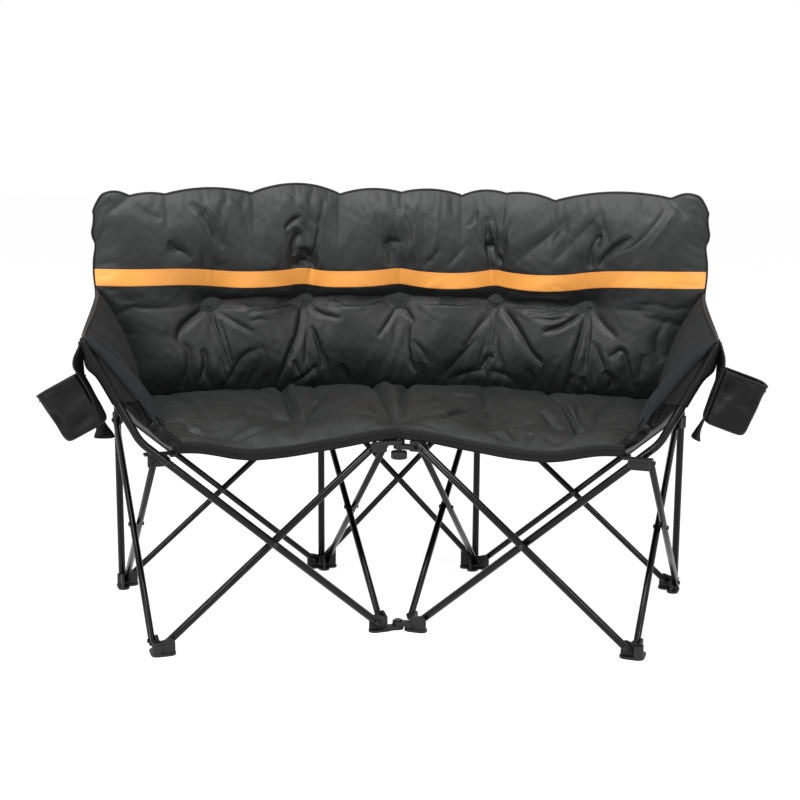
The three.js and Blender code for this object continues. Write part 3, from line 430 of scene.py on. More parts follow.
def tube_points(path, radius, sides, dome=0.5):
    """Rings of a closed tube with slightly domed ends."""
    path = np.asarray(path, float)
    tangents, firsts, seconds = path_frames(path)
    radius = np.broadcast_to(radius, len(path)).astype(float)
    caps = ((0.9, 0.5), (0.55, 0.9))  # how far out and how wide the rings of a domed end are
    angle = np.linspace(0, 2 * math.pi, sides, endpoint=False)[:, None]

    def ring(centre, index, size):
        return centre + size * (np.cos(angle) * firsts[index] + np.sin(angle) * seconds[index])

    def cap(depth, share, index, sign):
        centre = path[index] + sign * tangents[index] * depth * dome * radius[index]
        return ring(centre, index, share * radius[index])

    rings = [cap(depth, share, 0, -1) for depth, share in caps]
    rings += [ring(centre, index, radius[index]) for index, centre in enumerate(path)]
    rings += [cap(depth, share, -1, 1) for depth, share in reversed(caps)]
    return np.array(rings)


def flat_tube(path, half_width, half_depth, sides=16):
    """Rings of a tube along a path whose section is an ellipse, deep across the cloth."""
    tangents = path_frames(path)[0]
    depth = np.array([0, 1.0, 0])[None] - tangents * tangents[:, 1:2]
    depth /= np.linalg.norm(depth, axis=1)[:, None]
    width = np.cross(tangents, depth)
    angle = np.linspace(0, 2 * math.pi, sides, endpoint=False)[None, :, None]
    out = np.cos(angle) * half_width * width[:, None]
    return path[:, None] + out + np.sin(angle) * half_depth * depth[:, None]


def loft_piece(name, rings, material):
    """Closed piece through a row of rings."""
    count, sides = rings.shape[:2]
    faces = grid_faces(count, sides, loop=True)
    faces.append(list(range(sides))[::-1])
    faces.append(list(range((count - 1) * sides, count * sides)))
    return lay_weave(outward(mesh_object(name, rings, faces, material)), *cloth_lengths(rings))


def tube_piece(name, path, radius, sides, material, dome=0.5):
    return loft_piece(name, tube_points(path, radius, sides, dome), material)


def closed_pad(name, upper, lower, material, lining=None):
    """Closed piece between two grids of the same shape; the lower one may have its own material."""
    rows, columns = upper.shape[:2]
    count = rows * columns
    points = np.concatenate([upper.reshape(-1, 3), lower.reshape(-1, 3)])
    faces = grid_faces(rows, columns) + [f[::-1] for f in grid_faces(rows, columns, count)]
    index = np.arange(count).reshape(rows, columns)
    rim = np.concatenate([index[0, :-1], index[:-1, -1], index[-1, :0:-1], index[:0:-1, 0]])
    for a, b in zip(rim, np.roll(rim, -1)):
        faces.append([b, a, a + count, b + count])
    across, along = cloth_lengths(upper)
    laid = np.concatenate([across, across]), np.concatenate([along, along])
    pad = lay_weave(outward(mesh_object(name, points, faces, material)), *laid)
    if lining:
        pad.data.materials.append(bpy.data.materials[lining])
        for face in pad.data.polygons:
            face.material_index = int(max(face.vertices) >= count)
    return pad


def place_on(piece, body, slot, *nodes):
    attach(piece, body)
    if nodes:
        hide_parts(*nodes)
    return piece


def squarer(value, power):
    """Sine or cosine drawn towards its ends, for a section between round and square."""
    return np.sign(value) * np.abs(value) ** power


def smooth_step(value):
    value = np.clip(value, 0, 1)
    return value * value * (3 - 2 * value)


def fullness(share, power):
    """Rises from 0 at both edges to 1 between them; a higher power keeps the middle flatter."""
    return 1 - np.abs(2 * share - 1) ** power


def mix(start, end, share):
    return start + (end - start) * share


def settle_cloth(points, pinned, slack, swell, frames, stiffness=15.0, bending=0.4):
    """Lets a sheet of cloth, larger than its frame and pushed by its filling, settle between its pins."""
    rows, columns = points.shape[:2]
    sheet = mesh_object("cloth_trial", points, grid_faces(rows, columns), "padded_polyester")
    group = sheet.vertex_groups.new(name="pins")
    group.add([int(i) for i in np.nonzero(pinned.reshape(-1))[0]], 1.0, "REPLACE")
    cloth = sheet.modifiers.new("Cloth", "CLOTH")
    made = cloth.settings
    made.quality = 5
    made.mass = 0.2
    made.vertex_group_mass = "pins"
    made.tension_stiffness = made.compression_stiffness = stiffness
    made.shear_stiffness = stiffness / 3
    made.bending_stiffness = bending
    made.tension_damping = made.compression_damping = made.shear_damping = 5
    made.air_damping = 2
    made.shrink_min = made.shrink_max = -slack
    cloth.collision_settings.use_collision = False
    cloth.point_cache.frame_start = 1
    cloth.point_cache.frame_end = frames
    scene = bpy.context.scene
    scene.gravity = swell
    for step in range(1, frames + 1):
        scene.frame_set(step)
    settled = bpy.data.meshes.new_from_object(sheet.evaluated_get(bpy.context.evaluated_depsgraph_get()))
    moved = np.zeros(len(settled.vertices) * 3)
    settled.vertices.foreach_get("co", moved)
    scene.frame_set(1)
    bpy.data.objects.remove(sheet)
    bpy.data.meshes.remove(settled)
    return moved.reshape(points.shape)


# Tubes


def brace_path(start, end):
    along = (end - start) / np.linalg.norm(end - start)
    return np.array([start - along * TUBE_END, end + along * TUBE_END])


def arm_path(foot, head, steps):
    """Arm tube: straight from its foot past the hub, a bend, then straight up to its end."""
    flat = head - foot
    flat[2] = 0
    flat /= np.linalg.norm(flat)
    up = np.array([0, 0, 1.0])
    low = flat * math.cos(SLOPE) + up * math.sin(SLOPE)
    high = flat * math.cos(ARM_RISE) + up * math.sin(ARM_RISE)
    bend = ARM_RISE - SLOPE
    tangent = ARM_BEND_RADIUS * math.tan(bend / 2)
    corner = head + low * ARM_RUN
    path = [foot - low * TUBE_END, corner - low * tangent]
    spot = corner - low * tangent
    chord = 2 * ARM_BEND_RADIUS * math.sin(bend / steps / 2)
    for step in range(steps):
        angle = SLOPE + bend * (step + 0.5) / steps
        spot = spot + chord * (flat * math.cos(angle) + up * math.sin(angle))
        path.append(spot)
    path.append(corner + high * ARM_LEG)
    return np.array(path)


def raised(point, height):
    return point + np.array([0, 0, height])


def crossed_pairs():
    """Every crossed pair: its two braces from foot to head, its rivet, tube size and sideways direction."""
    pairs = []

    def add(first, second, climb, drop, rivet, diameter, low=PIVOT_LOW, high=PIVOT_HIGH):
        start, end = LEGS[first].copy(), LEGS[second].copy()
        along = (end - start) / np.linalg.norm(end - start)
        left = np.array([-along[1], along[0], 0])
        offset = left * (diameter + BRACE_GAP) / 2
        near, far = start + along * PIVOT_REACH, end - along * PIVOT_REACH
        mean = (near + far) / 2
        pairs.append({
            "climb": (climb, raised(near + offset, low), raised(far + offset, high)),
            "drop": (drop, raised(far - offset, low), raised(near - offset, high)),
            "rivet": rivet, "diameter": diameter, "left": left, "crossing": raised(mean, (low + high) / 2),
        })

    for side in SIDES:
        for names in (
            ("front", "centre", "front_brace", "arm_tube", "front_rivet", MAIN_TUBE),
            ("centre", "inner", "inner_brace_front", "inner_brace_rear", "inner_rivet", SIDE_TUBE),
            ("inner", "outer", "back_brace_inner", "back_brace_outer", "back_rivet", SIDE_TUBE),
            ("outer", "front", "outer_brace_rear", "outer_brace_front", "outer_rivet", SIDE_TUBE),
        ):
            first, second, climb, drop, rivet = (f"{name}_{side}" for name in names[:5])
            if side == "right":
                first, second, climb, drop = second, first, drop, climb
            add(first, second, climb, drop, rivet, names[5])
    add("inner_left", "inner_right", "middle_brace_left", "middle_brace_right", "middle_rivet", SIDE_TUBE,
        MIDDLE_LOW, MIDDLE_HIGH)
    return pairs


class LOVESEAT_OT_tubes(bpy.types.Operator):
    """Round powder-coated tubes in place of the faceted ones"""

    bl_idname = "loveseat.tubes"
    bl_label = "Tubes"

    def execute(self, context):
        sides, steps = sizes().tube_sides, sizes().bend_steps
        for pair in crossed_pairs():
            for node, foot, head in (pair["climb"], pair["drop"]):
                is_arm = node.startswith("arm_tube")
                path = arm_path(foot, head, steps) if is_arm else brace_path(foot, head)
                radius = pair["diameter"] / 2
                piece = tube_piece(f"{node}_round", path, radius, sides, "powder_coat", dome=0.3)
                place_on(piece, BODY_OF[node], "powder_coated_tube", node)
        for side in SIDES:
            for leg in ("outer", "inner"):
                node = f"{leg}_post_{side}"
                foot = LEGS[f"{leg}_{side}"]
                path = [raised(foot, POST_FOOT), raised(foot, POST_TOP)]
                piece = tube_piece(f"{node}_round", path, MAIN_TUBE / 2, sides, "powder_coat", dome=0.2)
                place_on(piece, BODY_OF[node], "powder_coated_tube", node)
        return {"FINISHED"}


# Moulded joints

SHARP_EDGE = math.radians(36)  # edges that turn by more are rounded


def moulded_copy(node, round_by):
    """Copy of a moulding with flat faces joined up and its sharp edges rounded."""
    work = bmesh.new()
    work.from_mesh(frame["nodes"][node].data)
    bmesh.ops.remove_doubles(work, verts=work.verts, dist=0.02 * MM)
    bmesh.ops.dissolve_limit(
        work, angle_limit=math.radians(1.0), verts=work.verts, edges=work.edges, delimit=set())
    sharp = [e for e in work.edges if len(e.link_faces) == 2 and e.calc_face_angle(0) > SHARP_EDGE]
    bmesh.ops.bevel(
        work, geom=sharp, offset=round_by, offset_type="OFFSET", segments=2, profile=0.6,
        affect="EDGES", clamp_overlap=True)
    mesh = bpy.data.meshes.new(f"{node}_moulded")
    work.to_mesh(mesh)
    work.free()
    mesh.materials.clear()
    mesh.materials.append(bpy.data.materials["moulded_nylon"])
    mesh.polygons.foreach_set("use_smooth", [True] * len(mesh.polygons))
    mesh.set_sharp_from_angle(angle=math.radians(38))
    return new_object(f"{node}_moulded", mesh)


class LOVESEAT_OT_mouldings(bpy.types.Operator):
    """Moulded feet, hubs, sliders, collars and the knob, with rounded edges"""

    bl_idname = "loveseat.mouldings"
    bl_label = "Mouldings"

    def execute(self, context):
        words = ("_foot_", "_slider_", "_collar_", "_hub_", "centre_knob")
        for node in sorted(frame["nodes"]):
            if any(word in node for word in words) and node != "centre_foot_pin":
                piece = moulded_copy(node, sizes().edge_round)
                place_on(piece, BODY_OF[node], "moulded_nylon", node)
        pin = frame["nodes"]["centre_foot_pin"].data.materials
        pin.clear()
        pin.append(bpy.data.materials["rivet_steel"])
        return {"FINISHED"}


# Repeated small pieces

BALL_FACETS = {"dome": (20, 12), "stitch": (6, 4)}  # round the ball and from pole to pole


def repeat_tree(name, kind):
    """Node tree that sets a small piece on each point: a dome facing its way, or a stitch along a line."""
    tree = bpy.data.node_groups.new(name, "GeometryNodeTree")
    face = tree.interface
    face.new_socket("Geometry", in_out="INPUT", socket_type="NodeSocketGeometry")
    face.new_socket("Geometry", in_out="OUTPUT", socket_type="NodeSocketGeometry")
    for title in ("Width", "Length", "Height", "Pitch"):
        face.new_socket(title, in_out="INPUT", socket_type="NodeSocketFloat")
    face.new_socket("Material", in_out="INPUT", socket_type="NodeSocketMaterial")
    start = tree.nodes.new("NodeGroupInput")
    end = tree.nodes.new("NodeGroupOutput")
    size = add_node(
        tree, "ShaderNodeCombineXYZ",
        {"X": start.outputs["Width"], "Y": start.outputs["Length"], "Z": start.outputs["Height"]})
    segments, rings = BALL_FACETS[kind]
    ball = add_node(
        tree, "GeometryNodeMeshUVSphere", {"Segments": segments, "Rings": rings, "Radius": 1.0})
    if kind == "dome":
        points = start.outputs["Geometry"]
        facing = add_node(
            tree, "GeometryNodeInputNamedAttribute", {"Name": "facing"}, data_type="FLOAT_VECTOR")
        turn = add_node(
            tree, "FunctionNodeAlignRotationToVector", {"Vector": facing.outputs["Attribute"]}, axis="Z")
    else:
        line = add_node(tree, "GeometryNodeMeshToCurve", {"Mesh": start.outputs["Geometry"]})
        spaced = add_node(
            tree, "GeometryNodeResampleCurve",
            {"Curve": line.outputs["Curve"], "Length": start.outputs["Pitch"]}, mode="LENGTH")
        points = spaced.outputs["Curve"]
        tangent = add_node(tree, "GeometryNodeInputTangent")
        turn = add_node(
            tree, "FunctionNodeAlignRotationToVector", {"Vector": tangent.outputs["Tangent"]}, axis="Y")
    placed = add_node(
        tree, "GeometryNodeInstanceOnPoints",
        {"Points": points, "Instance": ball.outputs["Mesh"], "Rotation": turn.outputs["Rotation"],
         "Scale": size.outputs["Vector"]})
    real = add_node(tree, "GeometryNodeRealizeInstances", {"Geometry": placed.outputs["Instances"]})
    smooth = add_node(tree, "GeometryNodeSetShadeSmooth", {"Geometry": real.outputs["Geometry"]})
    painted = add_node(
        tree, "GeometryNodeSetMaterial",
        {"Geometry": smooth.outputs["Geometry"], "Material": start.outputs["Material"]})
    tree.links.new(painted.outputs["Geometry"], end.inputs["Geometry"])
    return tree


def repeat_piece(name, kind, points, material, facing=None, edges=(), **inputs):
    """Plain mesh of small pieces set on points by a node tree."""
    tree = bpy.data.node_groups.get(f"repeat_{kind}") or repeat_tree(f"repeat_{kind}", kind)
    mesh = bpy.data.meshes.new(f"{name}_points")
    mesh.from_pydata(np.asarray(points, float).reshape(-1, 3).tolist(), list(edges), [])
    if facing is not None:
        attribute = mesh.attributes.new("facing", "FLOAT_VECTOR", "POINT")
        attribute.data.foreach_set("vector", np.asarray(facing, float).reshape(-1))
    piece = new_object(name, mesh)
    modifier = piece.modifiers.new("Repeat", "NODES")
    modifier.node_group = tree
    for item in tree.interface.items_tree:
        if item.name in inputs and item.in_out == "INPUT":
            modifier[item.identifier] = inputs[item.name]
        if item.name == "Material":
            modifier[item.identifier] = bpy.data.materials[material]
    bpy.context.view_layer.update()
    made = bpy.data.meshes.new_from_object(piece.evaluated_get(bpy.context.evaluated_depsgraph_get()))
    piece.modifiers.remove(modifier)
    piece.data = made
    bpy.data.meshes.remove(mesh)
    return piece


THREAD_HALF = 0.45 * MM
STITCH_HALF = 1.45 * MM
RIVET_PROUD = 0.1 * MM


def stitch_line(name, path, material="stitch_thread", pitch=4.2 * MM):
    path = np.asarray(path, float).reshape(-1, 3)
    edges = [(i, i + 1) for i in range(len(path) - 1)]
    return repeat_piece(
        name, "stitch", path, material, edges=edges,
        Width=THREAD_HALF, Length=STITCH_HALF, Height=THREAD_HALF, Pitch=pitch)


class LOVESEAT_OT_rivets(bpy.types.Operator):
    """Domed rivet heads at the crossings of the tubes"""

    bl_idname = "loveseat.rivets"
    bl_label = "Rivets"

    def execute(self, context):
        width, height = sizes().rivet_radius, sizes().rivet_height
        for pair in crossed_pairs():
            reach = pair["diameter"] + BRACE_GAP / 2 + RIVET_PROUD
            ends = [pair["crossing"] + sign * reach * pair["left"] for sign in (1, -1)]
            piece = repeat_piece(
                f"{pair['rivet']}_heads", "dome", ends, "rivet_steel", facing=[pair["left"], -pair["left"]],
                Width=width, Length=width, Height=height)
            place_on(piece, BODY_OF[pair["rivet"]], "rivet_steel", pair["rivet"])
        return {"FINISHED"}


# Cloth shapes

TUFT_RADIUS = 46 * MM  # reach of the hollow round a tuft
PIN_RADIUS = 8 * MM  # cloth held by a tuft
BUTTON_HALF = 5 * MM
BUTTON_HEIGHT = 2.4 * MM
EDGE_TAPE = 3.4 * MM  # half width of the tape on the edges of the back and the wings
EDGE_TAPE_SIDES = 12  # facets round a tape or cord
TAPE_SIDES = 10
CORD_SIDES = 8
BACK_PUFF = 17 * MM
BACK_UNEVEN = 3.2 * MM
BACK_SIDE_UNEVEN = 2.5 * MM
REAR_PUFF = 5 * MM
REAR_UNEVEN = 2.6 * MM
TUFT_ROW = 655 * MM  # height of the seam through the tufts
TUFT_ROW_DEEP = 11 * MM
TUFT_ROW_HALF = 22 * MM
TUFT_ROW_REACH = 430 * MM  # from the middle; beyond it the seam fades
TUFT_ROW_FADE = 60 * MM
PINCH_RADIUS = 26 * MM
REAR_TUFT_RADIUS = 30 * MM
REAR_TUFT_SHARE = 0.25  # of a tuft's depth
LEAST_FILL = 3 * MM
STRIPE_HOLD = 25 * MM  # beside the stripe, where the cloth keeps its height
STRIPE_FLAT = 9 * MM  # beside the stripe, where folds begin
TOP_CORNER = 604 * MM  # where the rounded corners of the back begin
CORNER_RISE = 10 * MM
CORNER_RISE_SPAN = 0.85  # share of a corner
CORNER_DROP = 34 * MM
CORNER_TURN = 0.7  # share of a corner at which its edge turns down
POCKET_FOOT = 640 * MM
POCKET_TOP = 887 * MM
POCKET_RADIUS = 10.6 * MM
POCKET_SIDES = 28
PLAN_SOFTNESS = 20 * MM
BACK_BOTTOM = 436 * MM
BACK_TOP = 904 * MM
BACK_FLARE = 0.6
BACK_INSET = 21 * MM
BACK_EDGE = 8 * MM
BACK_CROWN = 24 * MM
OUTER_X = LEGS["outer_right"][0]
BACK_BOTTOM_HALF = OUTER_X + 12 * MM
BACK_TOP_HALF = OUTER_X + 40 * MM
STRIPE_HEIGHT = 690 * MM
# Gathers of the top edge in millimetres: across, up, and the rise of the cloth between each and the next
TOP_GATHERS = [
    (-604, 893, 5), (-530, 896, 13), (-345, 898, 23), (-141, 895, 11), (1, 900, 11), (142, 894, 10),
    (248, 900, 9), (356, 885, 16), (596, 896, 0)]
# Places where the back is sewn through or caught inside, in millimetres: across, up and how deep
BACK_TUFTS = [(-439, 649, 22), (-226, 653, 24), (0, 654, 24), (230, 651, 24), (437, 649, 22)]
BACK_PINCHES = [
    (-517, 775, 6), (-247, 809, 10), (-238, 746, 10), (-27, 786, 9), (224, 784, 10), (459, 811, 11)]
SEAT_TUFTS = [(-372, -60, 12), (-212, 85, 14), (0, 60, 14), (195, 60, 13), (379, 16, 14)]
# Lower edge of the stripe in millimetres, across and up
STRIPE_LINE = [
    (-690, 699), (-567, 698.5), (-490, 698), (-428, 692), (-380, 688.5), (-290, 689), (-238, 694),
    (-190, 686.5), (-129, 686), (-60, 687.5), (-3, 694), (40, 686.5), (105, 683), (180, 686), (230, 693),
    (262, 687), (320, 683), (390, 686), (450, 695), (510, 699.5), (600, 702), (690, 701)]
# Folds in millimetres: depth (minus for a ridge), width, then the places across and up along it
BACK_FOLDS = [
    (5, 8, (-604, 890), (-580, 859), (-543, 841)), (3, 7, (-659, 897), (-626, 853)),
    (4, 7, (-670, 860), (-659, 829), (-668, 808)),
    (9, 8, (-480, 878), (-448, 852), (-432, 814), (-413, 777)),
    (-3, 10, (-448, 878), (-412, 829), (-400, 784)), (3, 6, (-398, 902), (-377, 880), (-362, 871)),
    (2, 3, (-443, 796), (-439, 740)), (6, 7, (-528, 795), (-517, 775), (-501, 772), (-482, 754)),
    (8, 6, (-242, 848), (-263, 836), (-283, 816)), (11, 6, (-247, 809), (-263, 786), (-259, 759)),
    (8, 6, (-224, 744), (-241, 742), (-252, 729)),
    (-6, 6, (-265, 830), (-238, 816), (-234, 793), (-219, 758)),
    (4, 7, (-256, 873), (-226, 852), (-209, 825)), (4, 6, (-259, 777), (-234, 768), (-220, 749)),
    (3, 8, (-280, 907), (-258, 891), (-249, 870)), (7, 13, (-31, 791), (-22, 766), (-24, 733)),
    (4, 7, (-34, 795), (-10, 786), (6, 787)), (3, 6, (-57, 857), (-54, 793), (-57, 742)),
    (2, 9, (-366, 851), (-356, 795), (-352, 745)), (4, 9, (51, 851), (54, 794), (57, 743)),
    (-4, 8, (83, 872), (86, 817), (78, 752)), (4, 7, (118, 908), (121, 845)),
    (4, 6, (182, 861), (170, 838), (157, 824)), (6, 6, (211, 846), (209, 800)),
    (-4, 4, (223, 837), (226, 796)), (10, 6, (202, 779), (222, 780), (236, 759), (250, 741)),
    (4, 7, (91, 776), (75, 752), (50, 734)), (4, 8, (158, 788), (127, 757), (108, 734)),
    (6, 13, (433, 891), (371, 822), (284, 747)), (4, 10, (396, 856), (338, 799), (301, 770)),
    (5, 13, (466, 869), (414, 805), (361, 750)), (10, 7, (459, 811), (445, 784), (442, 739)),
    (-5, 5, (463, 822), (470, 803), (458, 789)), (11, 7, (529, 809), (488, 783), (459, 742)),
    (3, 4, (603, 896), (582, 850), (542, 794), (490, 770)), (-3, 9, (621, 894), (599, 839), (559, 783)),
    (4, 8, (676, 860), (662, 834), (671, 786)), (12, 9, (-436, 654), (-353, 660), (-237, 655)),
    (9, 6, (-362, 631), (-327, 641), (-237, 652)), (4, 6, (-361, 610), (-338, 616), (-318, 611)),
    (12, 9, (-227, 657), (-129, 661), (0, 661)), (9, 6, (-166, 642), (-117, 647), (-3, 657)),
    (12, 9, (4, 661), (116, 662), (234, 655)), (5, 5, (79, 657), (112, 650), (165, 660)),
    (10, 9, (241, 651), (364, 647), (436, 655)), (8, 6, (298, 633), (367, 633), (425, 650)),
    (11, 6, (343, 589), (389, 607), (432, 646)), (6, 6, (318, 622), (365, 617), (397, 628)),
    (11, 7, (-445, 643), (-473, 625), (-504, 601), (-515, 572)),
    (7, 4, (-437, 629), (-424, 580), (-412, 540), (-404, 503)),
    (6, 4, (-420, 614), (-407, 556), (-399, 517)),
    (5, 6, (-422, 633), (-376, 601), (-350, 586)),
    (12, 7, (-234, 641), (-246, 585), (-270, 539), (-288, 488), (-300, 446)),
    (5, 6, (-220, 636), (-179, 618), (-131, 614)),
    (9, 5, (-215, 596), (-200, 560), (-190, 532), (-190, 498)),
    (6, 6, (-3, 643), (-26, 607), (-54, 570)), (9, 6, (7, 640), (33, 605)),
    (9, 6, (23, 610), (17, 561), (26, 513), (38, 490)),
    (10, 7, (241, 642), (287, 595), (318, 545), (345, 517)), (5, 8, (227, 634), (180, 586), (147, 547)),
    (10, 6, (434, 639), (421, 574), (409, 527), (404, 481)), (5, 4, (441, 635), (441, 564), (436, 501)),
    (5, 7, (449, 635), (474, 609), (503, 585)),
    (6, 9, (-328, 553), (-377, 537), (-400, 487), (-426, 451)),
    (6, 7, (-464, 554), (-451, 528), (-470, 478)),
    (6, 8, (-511, 577), (-486, 544), (-509, 462)), (5, 7, (-371, 497), (-382, 446)),
    (5, 6, (-346, 505), (-362, 454)), (5, 6, (-320, 490), (-329, 453)),
    (9, 7, (-201, 506), (-238, 476), (-275, 450)), (6, 6, (-265, 520), (-249, 486)),
    (9, 8, (-136, 508), (-122, 470), (-127, 446)),
    (8, 8, (48, 514), (57, 476), (62, 442)), (5, 7, (33, 565), (61, 533), (64, 514)),
    (6, 8, (109, 466), (163, 489), (215, 500)), (5, 9, (188, 574), (147, 533), (95, 471)),
    (8, 7, (200, 501), (219, 531), (236, 527)), (6, 8, (220, 498), (267, 486), (286, 459)),
    (7, 7, (312, 508), (326, 476), (318, 447)), (8, 7, (412, 500), (398, 462), (420, 449)),
    (7, 6, (430, 496), (439, 464)), (6, 7, (451, 576), (470, 540), (479, 513)),
    (7, 7, (479, 513), (499, 489), (485, 467)), (9, 7, (489, 541), (516, 566), (526, 530), (541, 471)),
    (5, 9, (561, 555), (553, 495)), (6, 10, (601, 629), (581, 578), (598, 539)),
]
# The same on the seat, across and behind the line of the hinge
SEAT_FOLDS = [
    (9, 12, (-538, 285), (-463, 137), (-401, 6)), (7, 8, (-372, -101), (-411, -66), (-451, -3)),
    (7, 7, (-372, -101), (-411, -106), (-425, -124)), (7, 8, (-369, -94), (-341, -35), (-289, 63)),
    (9, 9, (-375, 8), (-317, 90), (-218, 124)), (16, 10, (-293, 436), (-253, 242), (-218, 124)),
    (-7, 10, (-269, 437), (-238, 275), (-216, 186)), (7, 8, (-209, 112), (-191, 175), (-179, 200)),
    (7, 9, (-210, 76), (-247, 14), (-278, -54)), (7, 10, (-214, 468), (-192, 339), (-196, 222)),
    (16, 10, (-84, 445), (-53, 276), (-5, 67)), (-7, 10, (-61, 460), (-30, 289), (-3, 190)),
    (14, 9, (27, 416), (13, 265), (4, 81)), (7, 9, (-3, 47), (-40, 11), (-97, -24)),
    (7, 9, (6, 47), (51, 6), (96, -22)), (10, 8, (53, 132), (107, 205), (165, 215)),
    (13, 7, (85, 43), (130, 117), (189, 159)), (9, 9, (236, 402), (267, 326), (296, 360)),
    (9, 9, (166, 411), (204, 331), (220, 234)), (16, 7, (333, 207), (360, 140), (379, 16)),
    (14, 7, (360, 234), (380, 159), (387, 66)), (10, 7, (379, -1), (352, -69), (328, -82)),
    (9, 8, (375, -16), (333, 15), (303, 110)), (9, 9, (385, 33), (431, 124), (488, 186)),
    (7, 9, (380, -18), (418, -56), (456, -96)), (9, 9, (330, 406), (344, 314), (324, 211)),
    (9, 8, (179, -10), (206, -38), (214, -64)), (9, 7, (228, -10), (238, -62)),
    (9, 7, (267, -35), (257, -82)), (7, 8, (296, -50), (321, -99)),
    (7, 7, (-333, -96), (-299, -46), (-233, -8)), (7, 7, (-413, -41), (-386, -116)),
    (7, 7, (-112, -42), (-76, -23), (-31, -9)), (7, 10, (470, 398), (512, 333), (528, 188)),
]


def post_line(x):
    past = (np.abs(x) - INNER_X) / PLAN_SOFTNESS
    return INNER_Y - math.tan(TOE_IN) * PLAN_SOFTNESS * np.logaddexp(0, past)


def back_point(x, height, proud):
    """Point before the line of the posts; the three may be arrays."""
    x, height, proud = np.broadcast_arrays(x, height, proud)
    slope = (post_line(x + MM) - post_line(x - MM)) / (2 * MM)
    length = np.hypot(slope, 1)
    return np.stack([x + slope / length * proud, post_line(x) - proud / length, height], -1)


def back_half(height):
    up = (height - BACK_BOTTOM) / (BACK_TOP - BACK_BOTTOM)
    return mix(BACK_BOTTOM_HALF, BACK_TOP_HALF, smooth_step(up / BACK_FLARE))


def back_top(x):
    """Top edge of the back: gathers that dip, rises between them, and a rounded corner at each end."""
    spots = np.array(TOP_GATHERS) * MM
    line = np.interp(x, spots[:, 0], spots[:, 1])
    for (start, _, rise), (end, _, _) in zip(spots, spots[1:]):
        share = np.clip((x - start) / (end - start), 0, 1)
        line = line + rise * np.sin(np.pi * share) ** 0.8
    past = np.clip((np.abs(x) - TOP_CORNER) / (BACK_TOP_HALF - TOP_CORNER), 0, 1)
    bump = CORNER_RISE * np.sin(np.pi * np.clip(past / CORNER_RISE_SPAN, 0, 1))
    return line + bump - CORNER_DROP * np.clip((past - CORNER_TURN) / (1 - CORNER_TURN), 0, 1) ** 2


def stripe_low(x):
    """Lower edge of the stripe: drawn up over each tuft, sagging between them."""
    line = eased_line(np.array(STRIPE_LINE) * MM)
    return np.interp(x, line[:, 0], line[:, 1])


def drift(x, y, seed, size, count=9):
    """Smooth uneven field between about -1 and 1, of waves 0.6 to 1.8 times the given size."""
    chance = np.random.RandomState(seed)
    total = np.zeros(np.broadcast(x, y).shape)
    for _ in range(count):
        turn, phase = chance.uniform(0, 2 * np.pi, 2)
        pace = 2 * np.pi / (size * chance.uniform(0.6, 1.8))
        total = total + np.sin((x * np.cos(turn) + y * np.sin(turn)) * pace + phase)
    return total / count ** 0.5 / 1.4


def pressed(x, y, spots, radius):
    """Depth of the tufts at each place: how deep the filling is drawn in."""
    depth = np.zeros(np.shape(x))
    for across, up, deep in np.array(spots) * MM:
        reach = np.hypot(x - across, y - up)
        depth = np.maximum(depth, deep * np.exp(-((reach / radius) ** 2)))
    return depth


def near_spots(x, y, spots, radius):
    near = np.zeros(np.shape(x), bool)
    for across, up, _ in np.array(spots) * MM:
        near |= np.hypot(x - across, y - up) < radius
    return near


def eased_line(spots):
    """Line through spots with its corners cut twice."""
    for _ in range(2):
        first, second = spots[:-1], spots[1:]
        cuts = np.stack([mix(first, second, 0.25), mix(first, second, 0.75)], 1).reshape(-1, spots.shape[1])
        spots = np.concatenate([spots[:1], cuts, spots[-1:]])
    return spots


def spread_line(spots, count):
    """Even steps along the eased line through spots."""
    line = eased_line(spots)
    steps = np.linspace(0, 1, len(line))
    places = np.linspace(0, 1, count)
    return np.stack([np.interp(places, steps, values) for values in line.T], -1)


FOLD_REACH = 4  # in widths of a fold
FOLD_SHARPNESS = 1.15
LIP_HEIGHT = 0.12  # share of the fold's depth
LIP_PLACE = 1.9  # in widths from the fold
CREASE_WAVES = 14


def fold_depth(x, y, folds):
    """How far the cloth is drawn in: sharp along a fold, a soft lip beside it, fading at its ends."""
    total = np.zeros(np.shape(x))
    for depth, width, *spots in folds:
        line = eased_line(np.array(spots) * MM)
        reach = FOLD_REACH * width * MM
        low, high = line.min(0) - reach, line.max(0) + reach
        near = (x > low[0]) & (x < high[0]) & (y > low[1]) & (y < high[1])
        place = np.stack([x[near], y[near]], -1)
        nearest = np.full(len(place), np.inf)
        passed = np.zeros(len(place))
        length = 0.0
        for start, end in zip(line, line[1:]):
            step = np.linalg.norm(end - start)
            along = np.clip((place - start) @ (end - start) / step, 0, step)
            away = np.linalg.norm(place - start - along[:, None] * (end - start) / step, axis=1)
            closer = away < nearest
            nearest[closer] = away[closer]
            passed[closer] = length + along[closer]
            length += step
        span = nearest / (width * MM)
        fade = np.sin(np.pi * np.clip(passed / length, 0, 1)) ** 0.5
        lip = LIP_HEIGHT * np.exp(-((span - LIP_PLACE) ** 2))
        total[near] += depth * MM * fade * (np.exp(-(span ** FOLD_SHARPNESS)) - lip)
    return total


def creases(x, y, seed):
    """Small uneven creases of cloth that is not drawn tight."""
    wide = 0.9 * MM * drift(x, y, seed, 50 * MM, CREASE_WAVES)
    fine = 0.3 * MM * drift(x, y, seed + 1, 18 * MM, CREASE_WAVES)
    return wide + fine


